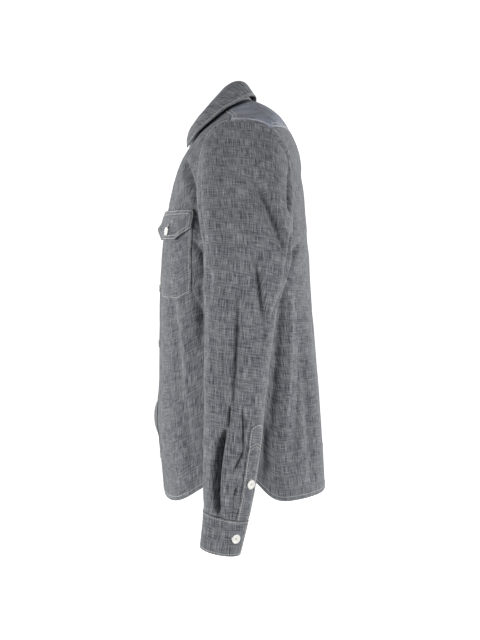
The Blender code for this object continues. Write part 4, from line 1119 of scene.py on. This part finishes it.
def build_arm(side, creases, seed, place):
    """A sleeve with its cuff, gauntlet and stitching. The right one is the left one's mirror
    image but for its creases, and is read with its columns turned round to keep faces outward."""
    flip = side == "right"

    def placed(points):
        return place(points)[:, ::-1] if flip else place(points)

    cap = CAP_DOWN * np.linspace(0, 1, SLEEVE_ROWS[0] + 1) ** 1.6
    arm = np.linspace(CAP_DOWN, CUFF_DOWN, SLEEVE_ROWS[1] + 1)[1:]
    down = np.concatenate([cap, arm])[:, None]
    angles = sleeve_angles()[None, :]
    points = placed(sleeve_surface(creases, seed, angles, down))
    cloth("sleeve_" + side, points, placed(sleeve_point(angles, down)), CLOTH,
          ALL_ROUND, closed=True)

    start = CUFF_END - CUFF_LAP
    degrees = np.linspace(start, CUFF_END + 360, CUFF_COLUMNS + 1)
    down = CUFF_DOWN + 2 * SEAM + np.linspace(0, CUFF_LENGTH - 2 * SEAM, CUFF_ROWS + 1)
    wave = crumple(degrees / 360, down[:, None] * 6, ((9, 6, 0.0006), (31, 20, 0.00022)), seed + 1)
    points = placed(cuff_point(np.radians(degrees)[None, :], down[:, None],
                               cuff_out(degrees)[None, :] + 0.5 * wave))
    cloth("cuff_" + side, points, points, CLOTH, ALL_ROUND)
    seams.sew(points, "top", [EDGE_STITCH], CLOTH, 0.002, 0.002)
    seams.sew(points, "bottom", [CUFF_EDGE_STITCH], CLOTH, 0.002, 0.002)
    seams.sew(points, "left" if flip else "right", CUFF_LAP_STITCHES, CLOTH, 0.002, 0.002)

    around, down = gauntlet_grid()
    out = CLOTH / 2 + LAID + TRIM / 2
    points = placed(sleeve_surface(creases, seed, around, down, out))
    cloth("gauntlet_" + side, points, placed(sleeve_point(around, down)), TRIM,
          "top left right")
    seams.sew(points, "left right top", [EDGE_STITCH], TRIM, EDGE_STITCH, 0.001)
    seams.sew(points, "top", GAUNTLET_BARS, TRIM, EDGE_STITCH, EDGE_STITCH)


ARMS = (("left", LEFT_SLEEVE_CREASES, 5, np.array), ("right", RIGHT_SLEEVE_CREASES, 8, mirrored))
for arm in ARMS:
    build_arm(*arm)


# ---------------------------------------------------------------- collar

STAND_COLUMNS = 130
STAND_ROWS = 12
LEAF_COLUMNS = 190
LEAF_ROWS = 30

turn = np.linspace(-float(turn_at_x(BAND_HALF, 0.0)), TURN + float(turn_at_x(BAND_HALF, 0.0)),
                   STAND_COLUMNS + 1)
foot = body_surface(turn, 0.0)
head = section(turn, *STAND_TOP)
rise = unit(head - foot)
inward = -unit(body_point(turn, STEP) - body_point(turn, 0.0))
foot = foot + inward * clear_of_edge(inward, rise)[..., None]
lap = LAP / 2 * (1 - ease(turn, 0.5, 1.1) - ease(turn, TURN - 1.1, TURN - 0.5))
away = unit(np.cross(rise, np.gradient(foot, axis=0)))
share = np.linspace(1, 0, STAND_ROWS + 1)[:, None, None]
STAND = foot[None] * (1 - share) + head[None] * share - (away * lap[:, None])[None]
cloth("collar_stand", STAND, STAND, CLOTH, ALL_ROUND)

share = np.linspace(0, 1, LEAF_COLUMNS + 1)[None, :]
fall = np.linspace(0, 1, LEAF_ROWS + 1)[:, None] ** 1.25
plain = leaf_point(share, fall)
wave = crumple(share * 0.97, fall, ((14, 3, 0.0018), (38, 7, 0.0007)), 21) * ease(fall, 0.1, 0.7)
LEAF = plain + grid_normals(plain) * wave[..., None]
cloth("collar_leaf", LEAF, plain, CLOTH, SEWN_ON)
seams.sew(LEAF, SEWN_ON, [PATCH_STITCH], CLOTH, PATCH_STITCH, PATCH_STITCH)
seams.sew(STAND, "top bottom", [STAND_STITCH], CLOTH, 0.002, 0.002)


# ---------------------------------------------------------------- pocket and flap

POCKET_GRID = (72, 72)          # columns and rows
FLAP_GRID = (72, 36)


def patch(inner, outer, top, foot, corner, corner_rise, columns, rows):
    """Turn and run of a patch on the chest, with its lower corners cut off, and the shares
    across and down of its points."""
    cut = corner * np.linspace(0, 1, columns // 4 + 1)
    middle = np.linspace(inner + corner, outer - corner, columns // 2 + 1)[1:-1]
    distance = np.concatenate([inner + cut, middle, outer - cut[::-1]])
    edge = np.minimum(distance - inner, outer - distance)
    lowest = foot + corner_rise * (1 - np.clip(edge / corner, 0, 1))
    down = np.linspace(0, 1, rows + 1)[:, None]
    share = (distance - inner) / (outer - inner)
    z = top + down * (lowest[None, :] - top) - POCKET_TILT * share
    turn = chest_turn(distance)
    return turn[None, :], chest_run(turn, z), share[None, :], down


turn, run, share, down = patch(POCKET_INNER, POCKET_OUTER, POCKET_TOP, POCKET_FOOT,
                               POCKET_CORNER, POCKET_CORNER_RISE, *POCKET_GRID)
swell = np.sin(math.pi * share) ** 0.8 * np.sin(math.pi * down) ** 0.7
wave = crumple(share * 0.5, down, ((6, 4, 0.0010), (18, 11, 0.0005)), 31)
POCKET = body_surface(turn, run, CLOTH / 2 + LAID + TRIM / 2 + swell * (POCKET_PUFF + wave))
cloth("pocket_left", POCKET, body_point(turn, run), TRIM, SEWN_ON)
seams.sew(POCKET, "left right bottom", [PATCH_STITCH], TRIM, PATCH_STITCH, PATCH_STITCH)


def flap_surface(columns, rows):
    """Points of the flap, which lifts off the pocket towards its lower edge."""
    turn, run, share, down = patch(POCKET_INNER - FLAP_BEYOND, POCKET_OUTER + FLAP_BEYOND,
                                   FLAP_TOP, FLAP_FOOT, FLAP_CORNER, FLAP_CORNER_RISE,
                                   columns, rows)
    lift = FLAP_LIFT * down ** 1.5 * (1 - share) ** 0.5
    wave = crumple(share * 0.5, down, ((8, 3, 0.0009), (22, 6, 0.0004)), 37) * ease(down, 0, 0.5)
    out = CLOTH / 2 + LAID + TRIM + LAID + TRIM / 2 + FLAP_STANDS_OFF
    return body_surface(turn, run, out + lift + wave), body_point(turn, run)


FLAP, plain = flap_surface(*FLAP_GRID)
cloth("flap_left", FLAP, plain, TRIM, ALL_ROUND)
for inset in FLAP_STITCHES:
    seams.sew(FLAP, "left right bottom top", [inset], TRIM, inset, inset)


# ---------------------------------------------------------------- buttons and buttonholes

BUTTON_RINGS = 22
BUTTON_SIDES = 48
HOLE_AWAY = 0.0019      # from the button's middle to a hole's
HOLE_RADIUS = 0.00085
HOLE_DEPTH = 0.0013
HOLE_STITCHES = 26      # along each side of a buttonhole


def button_profile(away):
    """Height of the button's face at a distance from its middle: a flat well, a raised rim and
    a rounded edge."""
    share = away / BUTTON_RADIUS
    rim = ease(share, 0.50, 0.74) * 0.38
    edge = 1 - np.sqrt(np.clip(1 - ((share - 0.86) / 0.14).clip(0) ** 2, 0, 1))
    return BUTTON_HEIGHT * (0.62 + rim - 0.5 * edge)


def build_button(node, seat, normal):
    """A button with four holes and its crossed threads, on its seat."""
    z_axis = unit(np.asarray(normal, float))
    x_axis = unit(np.cross(z_axis, [0.0, 0.0, 1.0]))
    y_axis = np.cross(z_axis, x_axis)
    away = BUTTON_RADIUS * np.linspace(0.02, 1, BUTTON_RINGS)[:, None]
    angle = (np.arange(BUTTON_SIDES) * TURN / BUTTON_SIDES)[None, :]
    x, y = away * np.cos(angle), away * np.sin(angle)
    height = button_profile(away) + 0 * angle
    for hole in range(4):
        at = TURN * (hole + 0.5) / 4
        near = np.hypot(x - HOLE_AWAY * math.cos(at), y - HOLE_AWAY * math.sin(at))
        height = height - HOLE_DEPTH * (1 - ease(near, 0.7 * HOLE_RADIUS, 1.15 * HOLE_RADIUS))
    under = np.array([0.99, 0.90, 0.5, 0.02])[:, None] * BUTTON_RADIUS
    x = np.concatenate([x, under * np.cos(angle)])
    y = np.concatenate([y, under * np.sin(angle)])
    low = np.array([0.30, 0.0, 0.0, 0.0])[:, None] * BUTTON_HEIGHT + 0 * angle
    height = np.concatenate([height, low])
    points = (seat + x[..., None] * x_axis + y[..., None] * y_axis + height[..., None] * z_axis)
    made = mesh_object(node + "_turned", points.reshape(-1, 3), turned_faces(*points.shape[:2]),
                       MATERIALS["button"])
    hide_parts(node)
    for at in (0.5, 1.5):
        way = math.cos(TURN * at / 4) * x_axis + math.sin(TURN * at / 4) * y_axis
        middle = seat + z_axis * (0.66 * BUTTON_HEIGHT)
        seams.add(middle[None], way[None] * HOLE_AWAY, z_axis[None])


def buttonhole(seat, way, normal, length):
    """A worked hole: close stitches across it on both sides and a bar at each end."""
    way, normal = unit(np.asarray(way, float)), unit(np.asarray(normal, float))
    across = np.cross(normal, way)
    along = np.linspace(-length / 2, length / 2, HOLE_STITCHES)[:, None]
    for side in (-1, 1):
        middle = seat + along * way + side * 0.0010 * across + normal * 0.0002
        seams.add(middle, np.repeat(across[None] * 0.0008, len(along), 0),
                  np.repeat(normal[None], len(along), 0))
    for end in (-1, 1):
        middle = seat + end * length / 2 * way + normal * 0.0003
        seams.add(middle[None], across[None] * 0.0016, normal[None])


def seat_on(surface, first, second, out):
    """A place on a surface, the surface's normal there, and its way down."""
    spot = surface(first, second, out)
    down = surface(first, second + 0.002, out) - surface(first, second - 0.002, out)
    across = surface(first + 0.02, second, out) - surface(first - 0.02, second, out)
    return spot, np.cross(down, across), down


out = CLOTH / 2 + SEAM + TRIM + 2 * SEAM
runs = np.linspace(0, HEM_FRONT, 800)
heights = body_point(0.0, runs)[..., 2]
for number in range(FRONT_BUTTONS):
    z = TOP_BUTTON_Z - BUTTON_GAP * number
    at = np.array(float(np.interp(-z, -heights, runs)))
    seat, normal, down = seat_on(body_surface, np.array(0.0), at, out)
    build_button(f"button_front_{number + 1}", seat, normal)
    buttonhole(seat - unit(normal) * 2 * SEAM, down, normal, 0.017)
foot, head = body_surface(0.0, 0.0), section(0.0, *STAND_TOP)
normal = unit(np.cross(head - foot, [-1.0, 0.0, 0.0]))
seat = foot + (head - foot) * 0.5 + normal * (LAP / 2 + CLOTH / 2 + SEAM)
build_button("button_stand", seat, normal)

# The flap's button sits in the middle, low down, on a coarse reading of the flap
points = flap_surface(8, 14)[0]
row, middle = 10, points.shape[1] // 2
down = points[row + 1, middle] - points[row - 1, middle]
normal = unit(np.cross(down, points[row, middle + 1] - points[row, middle - 1]))
seat = points[row, middle] + normal * (TRIM / 2 + LAID)
build_button("button_flap", seat, normal)
buttonhole(seat - normal * LAID - unit(down) * 0.003, down, normal, 0.018)

for side, creases, seed, place in ARMS:
    def arm(around, down, out):
        return sleeve_surface(creases, seed, around, down, out)

    middle = np.array(math.radians(gauntlet_middle(GAUNTLET_BUTTON_DOWN)))
    seat, normal, down = seat_on(arm, middle, np.array(GAUNTLET_BUTTON_DOWN),
                                 CLOTH / 2 + LAID + TRIM + SEAM)
    build_button("button_gauntlet_" + side, place(seat), place(normal))
    buttonhole(place(seat - unit(normal) * SEAM), place(down), place(normal), 0.016)
    around = np.array(math.radians(CUFF_BUTTON_AROUND))
    seat, normal, down = seat_on(cuff_point, around, np.array(CUFF_DOWN + CUFF_LENGTH / 2),
                                 np.array(LAP / 2 + CLOTH / 2 + SEAM))
    build_button("button_cuff_" + side, place(seat), place(normal))
    across = np.cross(normal, down)
    buttonhole(place(seat - unit(normal) * SEAM), place(across), place(normal), 0.016)

seams.build("stitching")


# ---------------------------------------------------------------- stage, lights and camera

SWEEP_FLOOR = -1.40     # height of the flat of the sweep
SWEEP_FLAT = 2.6        # radius at which it starts to rise
SWEEP_RADIUS = 4.8
SWEEP_TOP = 4.6
SWEEP_SIDES = 96


def build_sweep():
    """A pale seamless sweep, as a bowl of revolution with a flat floor."""
    bend, rise = np.linspace(0, QUARTER, 40), SWEEP_RADIUS - SWEEP_FLAT
    away = np.concatenate([[0.0], SWEEP_FLAT + rise * np.sin(bend), [SWEEP_RADIUS]])[:, None]
    height = np.concatenate([[0.0], rise * (1 - np.cos(bend)), [SWEEP_TOP - SWEEP_FLOOR]])
    angles = np.arange(SWEEP_SIDES) * TURN / SWEEP_SIDES
    points = np.stack([away * np.cos(angles), away * np.sin(angles),
                       np.repeat(SWEEP_FLOOR + height[:, None], SWEEP_SIDES, 1)], -1)
    faces = turned_faces(len(away), SWEEP_SIDES)
    mesh = bpy.data.meshes.new("sweep")
    mesh.from_pydata([tuple(p) for p in points.reshape(-1, 3)], [], faces[:, ::-1].tolist())
    mesh.shade_smooth()
    material, make, shader = principled("sweep")
    shader.inputs["Base Color"].default_value = (0.55, 0.55, 0.55, 1.0)
    shader.inputs["Roughness"].default_value = 0.9
    shader.inputs["Emission Color"].default_value = (1.0, 1.0, 1.0, 1.0)
    seen = make.add("ShaderNodeLightPath").outputs["Is Camera Ray"]
    make.tree.links.new(seen, shader.inputs["Emission Strength"])
    mesh.materials.append(material)
    sweep = bpy.data.objects.new("sweep", mesh)
    bpy.context.scene.collection.objects.link(sweep)


def area_light(name, place, target, size, power):
    """A soft square light that faces a target."""
    data = bpy.data.lights.new(name, "AREA")
    data.shape = "SQUARE"
    data.size = size
    data.energy = power
    light = bpy.data.objects.new(name, data)
    light.location = place
    light.rotation_euler = (Vector(target) - Vector(place)).to_track_quat("-Z", "Y").to_euler()
    bpy.context.scene.collection.objects.link(light)
    light.visible_camera = False


build_sweep()
MIDDLE = (0.0, 0.0, -0.38)
area_light("key", (1.5, -1.85, -0.45), MIDDLE, 0.8, 44)
area_light("fill", (1.3, 2.05, -0.55), MIDDLE, 1.0, 50)
area_light("top", (0.6, 0.0, 2.0), MIDDLE, 1.2, 12)
area_light("far key", (-1.4, -1.9, -0.2), MIDDLE, 1.0, 40)
area_light("far fill", (-1.5, 1.9, -0.2), MIDDLE, 1.0, 40)

world = bpy.data.worlds.new("studio")
world.use_nodes = True
world.node_tree.nodes["Background"].inputs["Color"].default_value = (1.0, 1.0, 1.0, 1.0)
world.node_tree.nodes["Background"].inputs["Strength"].default_value = 0.07
bpy.context.scene.world = world
bpy.context.scene.view_settings.view_transform = "Standard"

lens = bpy.data.cameras.new("camera")
lens.lens = 48
lens.clip_start = 0.05
camera = bpy.data.objects.new("camera", lens)
camera.location = (1.55, 0.0, -0.393)
camera.rotation_euler = (QUARTER, 0.0, QUARTER)
bpy.context.scene.collection.objects.link(camera)
bpy.context.scene.camera = camera
